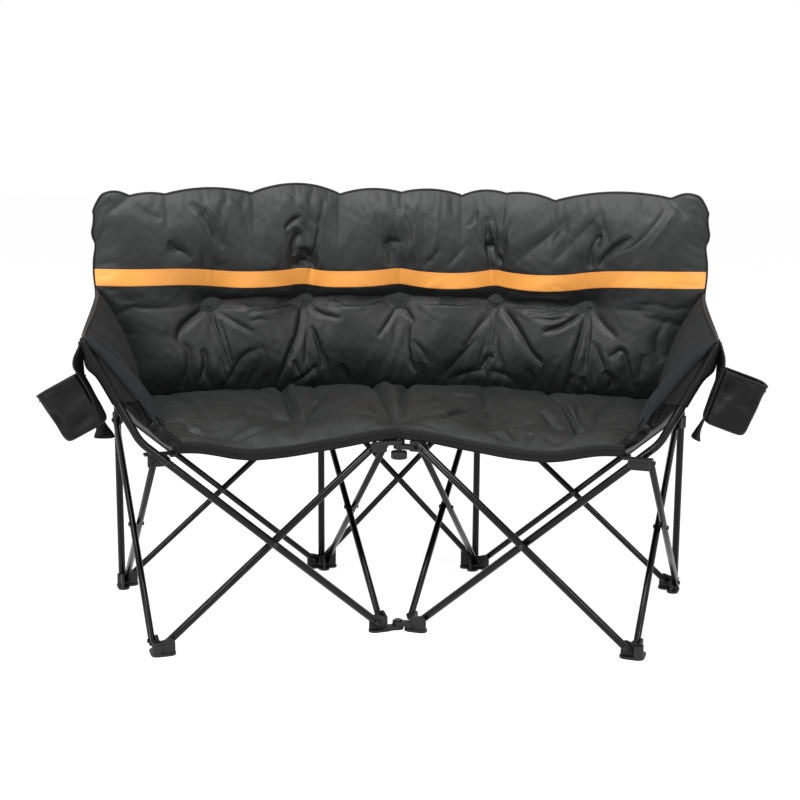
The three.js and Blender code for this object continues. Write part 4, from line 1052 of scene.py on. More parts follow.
def finer(grid):
    """Grid with twice as many cells, on smooth curves through the old points."""
    for axis in (0, 1):
        rows = np.moveaxis(grid, axis, 0)
        wide = np.concatenate([2 * rows[:1] - rows[1:2], rows, 2 * rows[-1:] - rows[-2:-1]])
        made = np.empty((2 * len(rows) - 1, *rows.shape[1:]))
        made[::2] = rows
        made[1::2] = (9 * (wide[1:-2] + wide[2:-1]) - wide[:-3] - wide[3:]) / 16
        grid = np.moveaxis(made, 0, axis)
    return grid


def eased_grid(grid, passes):
    """Grid with its creases softened; its edges stay."""
    grid = grid.copy()
    for _ in range(passes):
        around = (grid[:-2, 1:-1] + grid[2:, 1:-1] + grid[1:-1, :-2] + grid[1:-1, 2:]) / 4
        grid[1:-1, 1:-1] = mix(grid[1:-1, 1:-1], around, 0.6)
    return grid


def edge_mask(rows, columns):
    mask = np.zeros((rows, columns), bool)
    mask[[0, -1]] = True
    mask[:, [0, -1]] = True
    return mask


def grid_normals(points):
    """Unit normals of a grid of points."""
    across = np.gradient(points, axis=1)
    up = np.gradient(points, axis=0)
    normals = np.cross(across, up)
    return normals / np.maximum(np.linalg.norm(normals, axis=-1), 1e-12)[..., None]


def button_piece(name, cloth, x, y, tufts, material, columns=None):
    """Domed buttons on the tufts that lie in some columns of a cloth, or in all of them."""
    normals = grid_normals(cloth)
    spots, facing = [], []
    for across, up, _ in np.array(tufts) * MM:
        place = np.unravel_index(np.argmin(np.hypot(x - across, y - up)), x.shape)
        if columns is None or columns.start <= place[1] < columns.stop:
            spots.append(cloth[place] + normals[place] * 0.5 * MM)
            facing.append(normals[place])
    if not spots:
        return None
    return repeat_piece(
        name, "dome", spots, material, facing=facing,
        Width=BUTTON_HALF, Length=BUTTON_HALF, Height=BUTTON_HEIGHT)


# Back


def back_grid():
    """Places across and up of the back's cloth; its rows follow the stripe's edges."""
    cell = cloth_sizes().cell
    stripe = cloth_sizes().stripe
    side_cells = round((BACK_TOP_HALF - INNER_X) / cell)
    middle_cells = round(2 * INNER_X / cell)
    low_cells = round((STRIPE_HEIGHT - BACK_BOTTOM) / cell)
    stripe_cells = round(stripe / cell)
    high_cells = round((BACK_TOP - STRIPE_HEIGHT - stripe) / cell)
    levels = np.concatenate([
        np.linspace(0, 1, low_cells + 1), 1 + np.linspace(0, 1, stripe_cells + 1)[1:],
        2 + np.linspace(0, 1, high_cells + 1)[1:]])
    side = np.linspace(0, 1, side_cells + 1)
    middle = np.linspace(-1, 1, middle_cells + 1)
    rough = np.interp(levels, [0, 1, 2, 3], [BACK_BOTTOM, STRIPE_HEIGHT, STRIPE_HEIGHT + stripe, BACK_TOP])
    half = back_half(rough)[:, None] + BACK_SIDE_UNEVEN * drift(rough, 0 * rough, 9, 80 * MM)[:, None]
    right = INNER_X + side[None, 1:] * (half - INNER_X)
    x = np.concatenate([-right[:, ::-1], np.repeat(middle[None] * INNER_X, len(levels), 0), right], 1)
    low = stripe_low(x)
    high = low + stripe
    part = levels[:, None]
    z = np.where(part <= 1, mix(BACK_BOTTOM, low, part), np.where(
        part <= 2, mix(low, high, part - 1), mix(high, back_top(x), part - 2)))
    cuts = np.array([0, side_cells, side_cells + middle_cells, 2 * side_cells + middle_cells])
    rows = np.array([low_cells, low_cells + stripe_cells])
    return x, z, cuts * 2, rows * 2


def back_sheets(x, z):
    """Front and rear cloth of the back, the front settled between its seams and tufts and then folded."""
    made = cloth_sizes()
    across = (x / back_half(z) + 1) / 2
    up = (z - BACK_BOTTOM) / (back_top(x) - BACK_BOTTOM)
    full = fullness(across, 14) * fullness(up, 8)
    row = TUFT_ROW_DEEP * np.exp(-(((z - TUFT_ROW) / TUFT_ROW_HALF) ** 2))
    row = row * (1 - smooth_step((np.abs(x) - TUFT_ROW_REACH) / TUFT_ROW_FADE))
    deep = pressed(x, z, BACK_TUFTS, TUFT_RADIUS)
    uneven = BACK_UNEVEN * drift(x, z, 5, 110 * MM) * full
    front = BACK_INSET + BACK_EDGE / 2 + full * BACK_PUFF - np.maximum(deep, row) + uneven
    rear = BACK_INSET - BACK_EDGE / 2 - full * (REAR_PUFF + REAR_UNEVEN * drift(x, z, 15, 140 * MM))
    rear = rear + pressed(x, z, BACK_TUFTS, REAR_TUFT_RADIUS) * REAR_TUFT_SHARE
    pins = edge_mask(*x.shape) | near_spots(x, z, BACK_TUFTS, PIN_RADIUS)
    settled = settle_cloth(back_point(x, z, front), pins, made.slack, (0, -made.swell, 0), made.frames)
    settled = eased_grid(settled, 2)
    beyond = np.maximum(np.maximum(stripe_low(x) - z, z - stripe_low(x) - made.stripe), 0)
    settled[..., 2] = mix(settled[..., 2], z, 1 - smooth_step(beyond / STRIPE_HOLD))
    settled, behind = finer(settled), finer(back_point(x, z, rear))
    x, z, full, beyond, row = (finer(grid) for grid in (x, z, full, beyond, row))
    drawn = fold_depth(x, z, BACK_FOLDS) + creases(x, z, 101)
    drawn = drawn + pressed(x, z, BACK_PINCHES, PINCH_RADIUS) + row * 0.5
    drawn = drawn * full * smooth_step(beyond / STRIPE_FLAT)
    settled = settled - grid_normals(settled) * drawn[..., None]
    settled[..., 1] = np.minimum(settled[..., 1], behind[..., 1] - LEAST_FILL)
    return settled, behind, x, z


def back_part(piece, part):
    """A part of the back rides with its post."""
    side = "right" if part == "right" else "left"
    place_on(piece, f"inner_rear_foot_{side}", "padded_cloth")
    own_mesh(piece)
    return piece


def shade_as(piece, normals):
    """Keeps the shading of the whole cloth on a piece cut from it."""
    piece.data.normals_split_custom_set_from_vertices(np.asarray(normals, float).reshape(-1, 3).tolist())


PARTS = ("left", "middle", "right")
RIBBON_PROUD = 0.9 * MM
RIBBON_EDGE_PROUD = 0.35 * MM
RIBBON_SUNK = 0.4 * MM  # below the face of the cloth
STITCH_PROUD = 0.25 * MM
TAPE_PROUD = 1.6 * MM


class LOVESEAT_OT_back(bpy.types.Operator):
    """Padded back with its tufts, coloured stripe, bound edge and buttons"""

    bl_idname = "loveseat.back"
    bl_label = "Back"

    def execute(self, context):
        x, z, cuts, rows = back_grid()
        front, rear, x, z = back_sheets(x, z)
        front_normals = grid_normals(front)
        rear_normals = -grid_normals(rear)
        for part, start, end in zip(PARTS, cuts, cuts[1:]):
            keep = slice(start, end + 1)
            pad = closed_pad(f"back_{part}", front[:, keep], rear[:, keep], "padded_polyester")
            shade_as(pad, np.concatenate([
                front_normals[:, keep].reshape(-1, 3), rear_normals[:, keep].reshape(-1, 3)]))
            back_part(pad, part)
            if part == "left":
                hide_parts("back_pad")
            self.add_stripe(part, front[:, keep], front_normals[:, keep], rows)
            self.add_binding(part, front[:, keep], rear[:, keep])
            buttons = button_piece(
                f"back_buttons_{part}", front, x, z, BACK_TUFTS, "padded_polyester", keep)
            if buttons:
                back_part(buttons, part)
        self.add_pockets()
        return {"FINISHED"}

    def add_stripe(self, part, front, normals, rows):
        """Ribbon sewn on over the cloth, with a row of stitches near each edge."""
        band = slice(rows[0], rows[1] + 1)
        proud = np.full((rows[1] - rows[0] + 1, 1, 1), RIBBON_PROUD)
        proud[[0, -1]] = RIBBON_EDGE_PROUD
        top = front[band] + normals[band] * proud
        under = front[band] - normals[band] * RIBBON_SUNK
        ribbon = closed_pad(f"stripe_{part}", top, under, "stripe_ribbon")
        shade_as(ribbon, np.concatenate([normals[band].reshape(-1, 3), -normals[band].reshape(-1, 3)]))
        back_part(ribbon, part)
        for place, row in (("low", 1), ("high", -2)):
            path = top[row] + normals[band][row] * STITCH_PROUD
            back_part(stitch_line(f"stripe_stitches_{place}_{part}", path, "stripe_thread"), part)

    def add_binding(self, part, front, rear):
        """Tape folded over the top edge and down the outer side."""
        middle = (front + rear) / 2
        path = middle[-1]
        if part == "left":
            path = np.concatenate([middle[:, 0], path[1:]])
        if part == "right":
            path = np.concatenate([path, middle[::-1, -1][1:]])
        rings = flat_tube(path, EDGE_TAPE, BACK_EDGE / 2 + TAPE_PROUD)
        back_part(loft_piece(f"back_binding_{part}", rings, "binding_tape"), part)

    def add_pockets(self):
        """Narrow pockets behind the back that slip over the tops of the posts."""
        for side in SIDES:
            for leg in ("outer", "inner"):
                foot = LEGS[f"{leg}_{side}"]
                heights = np.linspace(POCKET_FOOT, POCKET_TOP, 40)
                path = np.stack([0 * heights + foot[0], 0 * heights + foot[1] - 1.5 * MM, heights], -1)
                swell = POCKET_RADIUS + 0.5 * MM * drift(heights, 0 * heights, 3, 90 * MM)
                pocket = tube_piece(
                    f"{leg}_pocket_{side}", path, swell, POCKET_SIDES, "trim_polyester", dome=0.35)
                place_on(pocket, f"{leg}_rear_foot_{side}", "padded_cloth")


# Seat

SEAT_WIDTH = 960 * MM  # rough size of the seat, for its number of cells
SEAT_DEPTH = 360 * MM
SEAT_PUFF = 15 * MM
SEAT_EDGE = 20 * MM
SEAT_REAR_EDGE = 15 * MM
# Sag of the front edge in millimetres, at shares of the way from the middle to a corner
SEAT_FRONT_SAG = np.array([
    (0, 0), (0.1, 1), (0.14, 3), (0.25, 10), (0.38, 16.5), (0.5, 23), (0.65, 25.5), (0.74, 20),
    (0.82, 10), (0.9, 2), (1, 0)])
SEAT_REAR_HEIGHT = PIVOT_HIGH + 33 * MM
SEAT_SAG = 12 * MM
SEAT_CORNER_INSET = 40 * MM
SEAT_REAR_HALF = OUTER_X + 4 * MM
SEAT_REAR_INSET = 15 * MM
SEAT_BELLY = 8 * MM
SEAT_UNEVEN = 2 * MM
SEAT_OVER_HUB = 0.3 * MM
HEM_DEEP = 5 * MM
HEM_OVERLAP = 2 * MM
HEM_SWAY = 0.12
HEM_SQUARENESS = 0.6
HEM_CORD = 1.1 * MM
HEM_CORD_UP = 0.45  # shares of the edge's half thickness
HEM_STITCHES_DOWN = 0.55


def seat_grid(across, back):
    """Middle surface of the seat with its edge thickness and fullness."""
    s = 2 * across - 1
    reach = np.abs(s)
    out = -(HINGE_TO_LEG + BAY) * (1 - reach) - SEAT_CORNER_INSET * reach
    sag = eased_line(SEAT_FRONT_SAG)
    front_height = HUB_TOP + SEAT_OVER_HUB + SEAT_EDGE / 2 - np.interp(reach, sag[:, 0], sag[:, 1]) * MM
    left, right = (from_front_leg(side, out, 0.0, 0.0) for side in SIDES)
    front = np.where((s < 0)[..., None], left, right)
    rear_x = s * SEAT_REAR_HALF
    x = mix(front[..., 0], rear_x, back)
    y = mix(front[..., 1], post_line(rear_x) - SEAT_REAR_INSET, back)
    full = fullness(across, 10) * fullness(back, 5)
    settled = full * smooth_step((back - 0.1) / 0.3)
    height = mix(front_height, SEAT_REAR_HEIGHT, back) - SEAT_SAG * settled
    edge = mix(SEAT_EDGE, SEAT_REAR_EDGE, smooth_step(back)) / 2
    return x, y, height, edge, full, settled


class LOVESEAT_OT_seat(bpy.types.Operator):
    """Padded seat with its tufts, buttons and hemmed front edge"""

    bl_idname = "loveseat.seat"
    bl_label = "Seat"

    def execute(self, context):
        made = cloth_sizes()
        columns = round(SEAT_WIDTH / made.cell)
        rows = round(SEAT_DEPTH / made.cell)
        across, back = np.meshgrid(np.linspace(0, 1, columns + 1), np.linspace(0, 1, rows + 1))
        x, y, height, edge, full, settled = seat_grid(across, back)
        deep = pressed(x, y - HINGE_Y, SEAT_TUFTS, TUFT_RADIUS)
        rise = edge + full * SEAT_PUFF - deep + SEAT_UNEVEN * full * drift(x, y, 11, 120 * MM)
        start = np.stack([x, y, height + rise], -1)
        pins = edge_mask(*x.shape) | near_spots(x, y - HINGE_Y, SEAT_TUFTS, PIN_RADIUS)
        top = eased_grid(settle_cloth(start, pins, made.slack, (0, 0, made.swell), made.frames), 3)
        under = np.stack([x, y, height - edge - settled * SEAT_BELLY], -1)
        hem = x[0], y[0], height[0], edge[0]
        top, under, x, y, full = (finer(grid) for grid in (top, under, x, y, full))
        drawn = (fold_depth(x, y - HINGE_Y, SEAT_FOLDS) + creases(x, y, 111)) * np.clip(full * 1.3, 0, 1)
        top = top - grid_normals(top) * drawn[..., None]
        top[..., 2] = np.maximum(top[..., 2], under[..., 2] + LEAST_FILL)
        pad = closed_pad("seat_padding", top, under, "seat_polyester")
        self.on_seat(pad)
        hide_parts("seat_pad")
        self.add_hem(*hem)
        self.on_seat(button_piece("seat_buttons", top, x, y - HINGE_Y, SEAT_TUFTS, "seat_polyester"))
        return {"FINISHED"}

    def on_seat(self, piece):
        place_on(piece, "seat", "padded_cloth")
        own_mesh(piece)

    def add_hem(self, x, y, height, edge):
        """Band folded round the front edge, dark partly in its own black and partly with painted shade, with
        a cord along its top and a row of stitches.
        """
        path = np.stack([x, y, height], -1)
        tangents = np.gradient(path, axis=0)
        forward = np.stack([tangents[:, 1], -tangents[:, 0], 0 * x], -1)
        forward /= np.linalg.norm(forward, axis=1)[:, None]
        angle = np.linspace(0, 2 * math.pi, 24, endpoint=False)
        out = squarer(np.cos(angle), HEM_SQUARENESS) * HEM_DEEP
        lift = squarer(np.sin(angle), HEM_SQUARENESS)
        tall = (edge + HEM_OVERLAP)[:, None, None]
        sway = 1 + HEM_SWAY * drift(x, y, 21, 100 * MM)
        rings = path[:, None] + out[None, :, None] * sway[:, None, None] * forward[:, None]
        rings = rings + lift[None, :, None] * tall * np.array([0, 0, 1.0])
        self.on_seat(loft_piece("seat_hem", rings, "trim_polyester"))
        line = path + forward * (HEM_DEEP * 0.98 * sway)[:, None]
        cord = line + np.outer(edge * HEM_CORD_UP, (0, 0, 1))
        self.on_seat(tube_piece("seat_hem_cord", cord, HEM_CORD, CORD_SIDES, "binding_tape"))
        line = line - np.outer(edge * HEM_STITCHES_DOWN, (0, 0, 1)) + forward * 0.2 * MM
        self.on_seat(stitch_line("seat_hem_stitches", line[3:-3]))


# Wings, sleeves and pouches

WING_THICKNESS = 16 * MM
WING_EDGE = 5 * MM
WING_FRONT = np.array([(-35, 429), (0, 529), (122, 640)]) * MM
WING_REAR_BOTTOM = 434 * MM
WING_REAR_TOP = 690 * MM
WING_REAR_LOW = -27 * MM
WING_SEAM = 452 * MM  # below it the wing shows its dark seam band
FOLDED_SLANT = math.radians(66)  # slant from the arm's tip towards the outer post
FOLDED_LEAD = 20 * MM
WING_BOW = 20 * MM
WING_SAG = 16 * MM
WING_UNEVEN = 2 * MM
WING_BULGE = 8 * MM  # fullness of the outer face near its top
WING_SLACK = 3 * MM
WING_CELLS = (86, 52)
WING_BESIDE_SLEEVE = 9.4 * MM
WING_OVERHANG = 0.3 * MM
WING_TO_BACK = 1.3 * MM
WING_SPAN = np.array([420, 250]) * MM  # flat length and height of a wing, for its creases
ARM_OFFSET = (MAIN_TUBE + BRACE_GAP) / 2
ARM_END = np.array([
    -PIVOT_REACH + ARM_RUN * math.cos(SLOPE) + ARM_LEG * math.cos(ARM_RISE),
    PIVOT_HIGH + ARM_RUN * math.sin(SLOPE) + ARM_LEG * math.sin(ARM_RISE)])
# Front rim of a wing in millimetres: from the arm's end, from the tube towards the seat, half of its width
RIM_LINE = np.array([
    (-7, 8, 3), (12, 14.5, 6), (33, 23, 8.5), (62, 31, 10), (95, 38, 11), (128, 44, 11.5), (155, 48, 10),
    (180, 47.5, 6.5), (206, 43, 3.5)]) * MM
# Dark corner between the rim's foot and the seat, outwards from the front leg axis and up
CORNER_LINE = np.array([(6, 473), (-10, 459), (-26, 444), (-52, 426)]) * MM
CORNER_HALF = 12 * MM
CORNER_DEEP = 7 * MM
CORNER_CRUMPLE = 5 * MM
RIM_DEEP = 3.5 * MM
RIM_ROUND = 0.45  # depth added for its half width
RIM_CRUMPLE = 0.7 * MM
ROLL_SQUARENESS = 0.8
ROLL_OVERLAP = 3 * MM
SLEEVE_MOUTH = 132 * MM
SLEEVE_SLANT = 16 * MM
SLEEVE_ROUND = 9.8 * MM
SLEEVE_WRAP = 150  # degrees round the tube to each side
SLEEVE_PAST_END = 5 * MM
SLEEVE_CLOSING = 11 * MM  # length over which the tip narrows
SLEEVE_TIP = 0.62  # share of the radius left there
SLEEVE_LOOSE = 8 * MM
SLEEVE_LOOSE_AT = 45 * MM  # from the arm's end
SLEEVE_LOOSE_HALF = 20 * MM
SLEEVE_WEB = 1.3 * MM  # half thickness of the flat panel
SLEEVE_PANEL = 28 * MM  # width over which the mouth slants
SLEEVE_RIPPLE = 0.9 * MM
UNDER_RIM = 3 * MM
# Lower edge of the gathered panel below a sleeve, from the arm's end and towards the seat
GUSSET_EDGE = np.array([(126, 7), (144, 9), (163, 14), (184, 17), (206, 26)]) * MM
GUSSET_HALF = 0.9 * MM  # half thickness
GUSSET_GATHERS = 2.3
GUSSET_FOLD = 2.6 * MM
GUSSET_BELLY = 5 * MM
GUSSET_BEHIND = 1 * MM  # the middle of the arm tube
GUSSET_UNDER_RIM = 4 * MM
GUSSET_TAPE = 1.7 * MM
WING_FOLDS = {
    "left": [(5, 7, (14, 238), (60, 205), (88, 150)), (5, 8, (20, 232), (85, 222), (150, 196)),
             (4, 9, (60, 120), (105, 160), (118, 215)), (4, 10, (190, 60), (240, 120), (300, 150))],
    "right": [(4, 6, (10, 238), (55, 214), (95, 204)), (4, 7, (24, 228), (90, 182), (135, 176)),
              (4, 9, (80, 190), (150, 130), (220, 60)), (4, 10, (210, 200), (260, 150), (300, 80))],
}
POUCH_TILT = {"left": math.radians(29), "right": math.radians(19.5)}
POUCH_TURN = {"left": math.radians(20), "right": math.radians(14)}
POUCH_FOOT = {"left": np.array([120, 463]) * MM, "right": np.array([142.33, 479]) * MM}
POUCH_HEIGHT = 105 * MM
POUCH_MOUTH = 91 * MM
POUCH_ROUND = 14 * MM  # rounding of the foot
POUCH_SEAM = 10 * MM  # depth of the hem below the mouth
POUCH_FLOOR = 82 * MM
POUCH_DEPTH = 76 * MM
POUCH_BACKSET = 8 * MM
POUCH_SQUARENESS = 0.42
POUCH_SLACK = 3.5 * MM
POUCH_WALL = 2.5 * MM
POUCH_TAPE = 2.4 * MM
POUCH_CORD = 1.2 * MM
POUCH_HOLLOW = 50 * MM  # how far the innermost ring of the floor is drawn in
POUCH_INSIDE = 0.03  # share of the height at which the inner floor lies
FLAP_HALF = 1.1 * MM  # half thickness
FLAP_CURL = 2 * MM
FLAP_TAPE = 2 * MM
FLAP_STEPS = 90
FLAP_ROUND = 0.93  # share of the flap at which its end begins to round
FLAP_ROUND_SPAN = 0.0721  # a little more than what is left, so that the end keeps some width
FLAP_GATHER = 0.2  # share of the flap that is gathered at the arm's tip
FLAP_NARROW = 0.4  # share of its width that the gathers take up
# Creases on the front of a pouch: across from its middle and up from its floor
POUCH_FOLDS = {
    "left": [(10, 9, (-33, 100), (-30, 80), (-32, 60)), (9, 9, (22, 14), (-4, 28), (-30, 24)),
             (-6, 12, (30, 96), (8, 60), (0, 22)), (8, 8, (34, 70), (28, 44), (34, 20))],
    "right": [(-10, 8, (16, 104), (-2, 62), (-27, 20)), (12, 9, (-26, 98), (-22, 78), (-14, 62)),
              (10, 8, (24, 92), (26, 66), (14, 52)), (10, 7, (-26, 20), (-8, 14), (4, 8))],
}
# Near and far edges of the panel that carries a pouch, outwards from the front leg axis and up
FLAP_EDGES = {
    "left": np.array([
        [(133, 645), (151, 602), (137, 576), (112, 520), (103, 474), (113, 455)],
        [(121, 640), (126, 578), (116, 535), (96, 494), (80, 464), (67, 441)]]) * MM,
    "right": np.array([
        [(138, 645), (146, 604), (136, 566), (122, 530), (108, 484), (105, 455)],
        [(126, 645), (126, 590), (122, 540), (108, 500), (94, 476), (84, 452)]]) * MM,
}
FLAP_BACK = np.array([-24, 36]) * MM


def wing_front(up):
    """Front edge of a wing, outwards from the front leg axis and up."""
    low, bow, tip = WING_FRONT
    up = np.asarray(up)[..., None]
    return low * (1 - up) ** 2 + 2 * bow * up * (1 - up) + tip * up ** 2


def wing_start(side):
    """Where a wing begins behind the front leg axis, beside its sleeve."""
    return HAND[side] * ARM_OFFSET + WING_BESIDE_SLEEVE


def wing_rear(up):
    """Rear edge of a wing, sewn to the front of the back: outwards and backwards."""
    top_out = (back_half(WING_REAR_TOP) - OUTER_X) / math.cos(TOE_IN) + WING_OVERHANG
    edge_back = BAY - BACK_INSET - BACK_EDGE / 2 - WING_TO_BACK
    return mix(WING_REAR_LOW, top_out, up ** 2), mix(edge_back - BACK_CROWN, edge_back, up ** 2)


def arm_point(from_end, away=0.0):
    """Upper part of the arm tube: outwards and up, at a distance from its end and to its outer side."""
    along = np.array([math.cos(ARM_RISE), math.sin(ARM_RISE)])
    square = np.array([math.sin(ARM_RISE), -math.cos(ARM_RISE)])
    return ARM_END - np.asarray(from_end)[..., None] * along + np.asarray(away)[..., None] * square


def rim_at(from_end):
    """Distance of the rim's middle from the arm tube towards the seat, and half of its width."""
    place = np.linspace(RIM_LINE[0, 0], RIM_LINE[-1, 0], 200)
    line = eased_line(RIM_LINE)
    return [np.interp(from_end, place, np.interp(place, line[:, 0], line[:, k])) for k in (1, 2)]


class LOVESEAT_OT_wings(bpy.types.Operator):
    """Padded wings between the arms and the back, with their rolled front rims"""

    bl_idname = "loveseat.wings"
    bl_label = "Wings"

    def execute(self, context):
        for side in SIDES:
            self.add_wing(side)
            self.add_rim(side)
        return {"FINISHED"}

    def on_wing(self, piece, side):
        place_on(piece, f"wing_{side}", "padded_cloth")
        slant = backwards(side) * math.sin(FOLDED_SLANT) - outwards(side) * math.cos(FOLDED_SLANT)
        tip = from_front_leg(side, WING_FRONT[-1, 0], wing_start(side), 0.0) - slant * FOLDED_LEAD
        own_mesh(piece)

    def add_wing(self, side):
        made = cloth_sizes()
        along, up = np.meshgrid(*(np.linspace(0, 1, count) for count in WING_CELLS))
        front = wing_front(up)
        rear_out, rear_back = wing_rear(up)
        rear_height = mix(WING_REAR_BOTTOM, WING_REAR_TOP, up)
        ease = smooth_step(along)
        full = fullness(along, 6) * fullness(up, 4)
        half = (WING_EDGE + full * (WING_THICKNESS - WING_EDGE)) / 2
        out = mix(front[..., 0], rear_out, ease) + WING_BOW * np.sin(np.pi * along) * 4 * up * (1 - up)
        height = mix(front[..., 1], rear_height, ease) - WING_SAG * up * np.sin(np.pi * along)
        back = mix(wing_start(side), rear_back, along)
        flat = along * WING_SPAN[0], up * WING_SPAN[1]
        uneven = WING_UNEVEN * full * drift(*flat, 31 + HAND[side], 130 * MM)
        bulge = WING_BULGE * smooth_step((up - 0.5) / 0.5) * np.sin(np.pi * along ** 1.6)
        inner = from_front_leg(side, out - half + uneven, back, height)
        outer = from_front_leg(side, out + half + bulge + uneven * 0.4, back, height)
        push = -outwards(side) * made.swell
        inner = settle_cloth(inner, edge_mask(*along.shape), made.slack, tuple(push * 0.4), made.frames)
        inner = eased_grid(inner, 4)
        inner, outer, along, up, full = (finer(grid) for grid in (inner, outer, along, up, full))
        flat = along * WING_SPAN[0], up * WING_SPAN[1]
        drawn = fold_depth(*flat, WING_FOLDS[side]) + creases(*flat, 121 + HAND[side])
        inner = inner + (drawn * np.sqrt(full))[..., None] * outwards(side)
        slack = (creases(*flat, 131 + HAND[side]) + WING_SLACK * drift(*flat, 133, 120 * MM)) * full
        outer = outer + slack[..., None] * outwards(side)
        # The inner face takes the lighter wing cloth: painted light for the side light on the wing
        pad = closed_pad(f"wing_padding_{side}", inner, outer, "wing_polyester_lit", "trim_polyester")
        for face in pad.data.polygons:
            if face.center.z < WING_SEAM:
                face.material_index = 1
        self.on_wing(pad, side)
        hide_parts(f"wing_{side}")
        upper = inner[-1] * 0.75 + outer[-1] * 0.25
        tape = tube_piece(f"wing_binding_{side}", upper, EDGE_TAPE, EDGE_TAPE_SIDES, "binding_tape")
        self.on_wing(tape, side)

    def add_rim(self, side):
        """Rolled rim along the front edge, narrow at both ends."""
        from_end = np.linspace(RIM_LINE[0, 0], RIM_LINE[-1, 0], 100)
        middle, half = rim_at(from_end)
        half = half * (1 + 0.05 * drift(from_end, 0 * from_end, 41, 50 * MM))
        along = arm_point(from_end, -middle)
        deep = RIM_DEEP + half * RIM_ROUND
        # The rim takes the lighter wing cloth too: painted light
        rim = self.roll(f"wing_rim_{side}", side, along, half, deep, RIM_CRUMPLE, "wing_polyester_lit")
        along = spread_line(CORNER_LINE, 60)
        share = np.linspace(0, 1, 60)
        half = CORNER_HALF * np.sin(np.pi * mix(0.12, 0.85, share)) ** 0.6
        deep = np.full(len(half), CORNER_DEEP)
        self.roll(f"wing_corner_{side}", side, along, half, deep, CORNER_CRUMPLE, "trim_polyester")

    def roll(self, name, side, along, half, deep, crumple, material):
        """Stuffed roll before the wing's front edge, round a line given outwards and up."""
        angle = np.linspace(0, 2 * math.pi, 36, endpoint=False)
        run = np.gradient(along, axis=0)
        run /= np.linalg.norm(run, axis=1)[:, None]
        square = np.stack([run[:, 1], -run[:, 0]], -1)
        across = squarer(np.cos(angle), ROLL_SQUARENESS) * half[:, None]
        spot = along[:, None] + across[..., None] * square[:, None]
        ripple = crumple * drift(spot[..., 0], spot[..., 1], 43 + HAND[side], 25 * MM)
        middle = HAND[side] * ARM_OFFSET - ROLL_OVERLAP
        behind = wing_start(side) + ROLL_OVERLAP - middle
        lift = squarer(np.sin(angle), ROLL_SQUARENESS)
        back = middle - np.where(lift > 0, lift * (deep[:, None] + ripple), lift * behind)
        piece = loft_piece(name, from_front_leg(side, spot[..., 0], back, spot[..., 1]), material)
        self.on_wing(piece, side)
        return piece


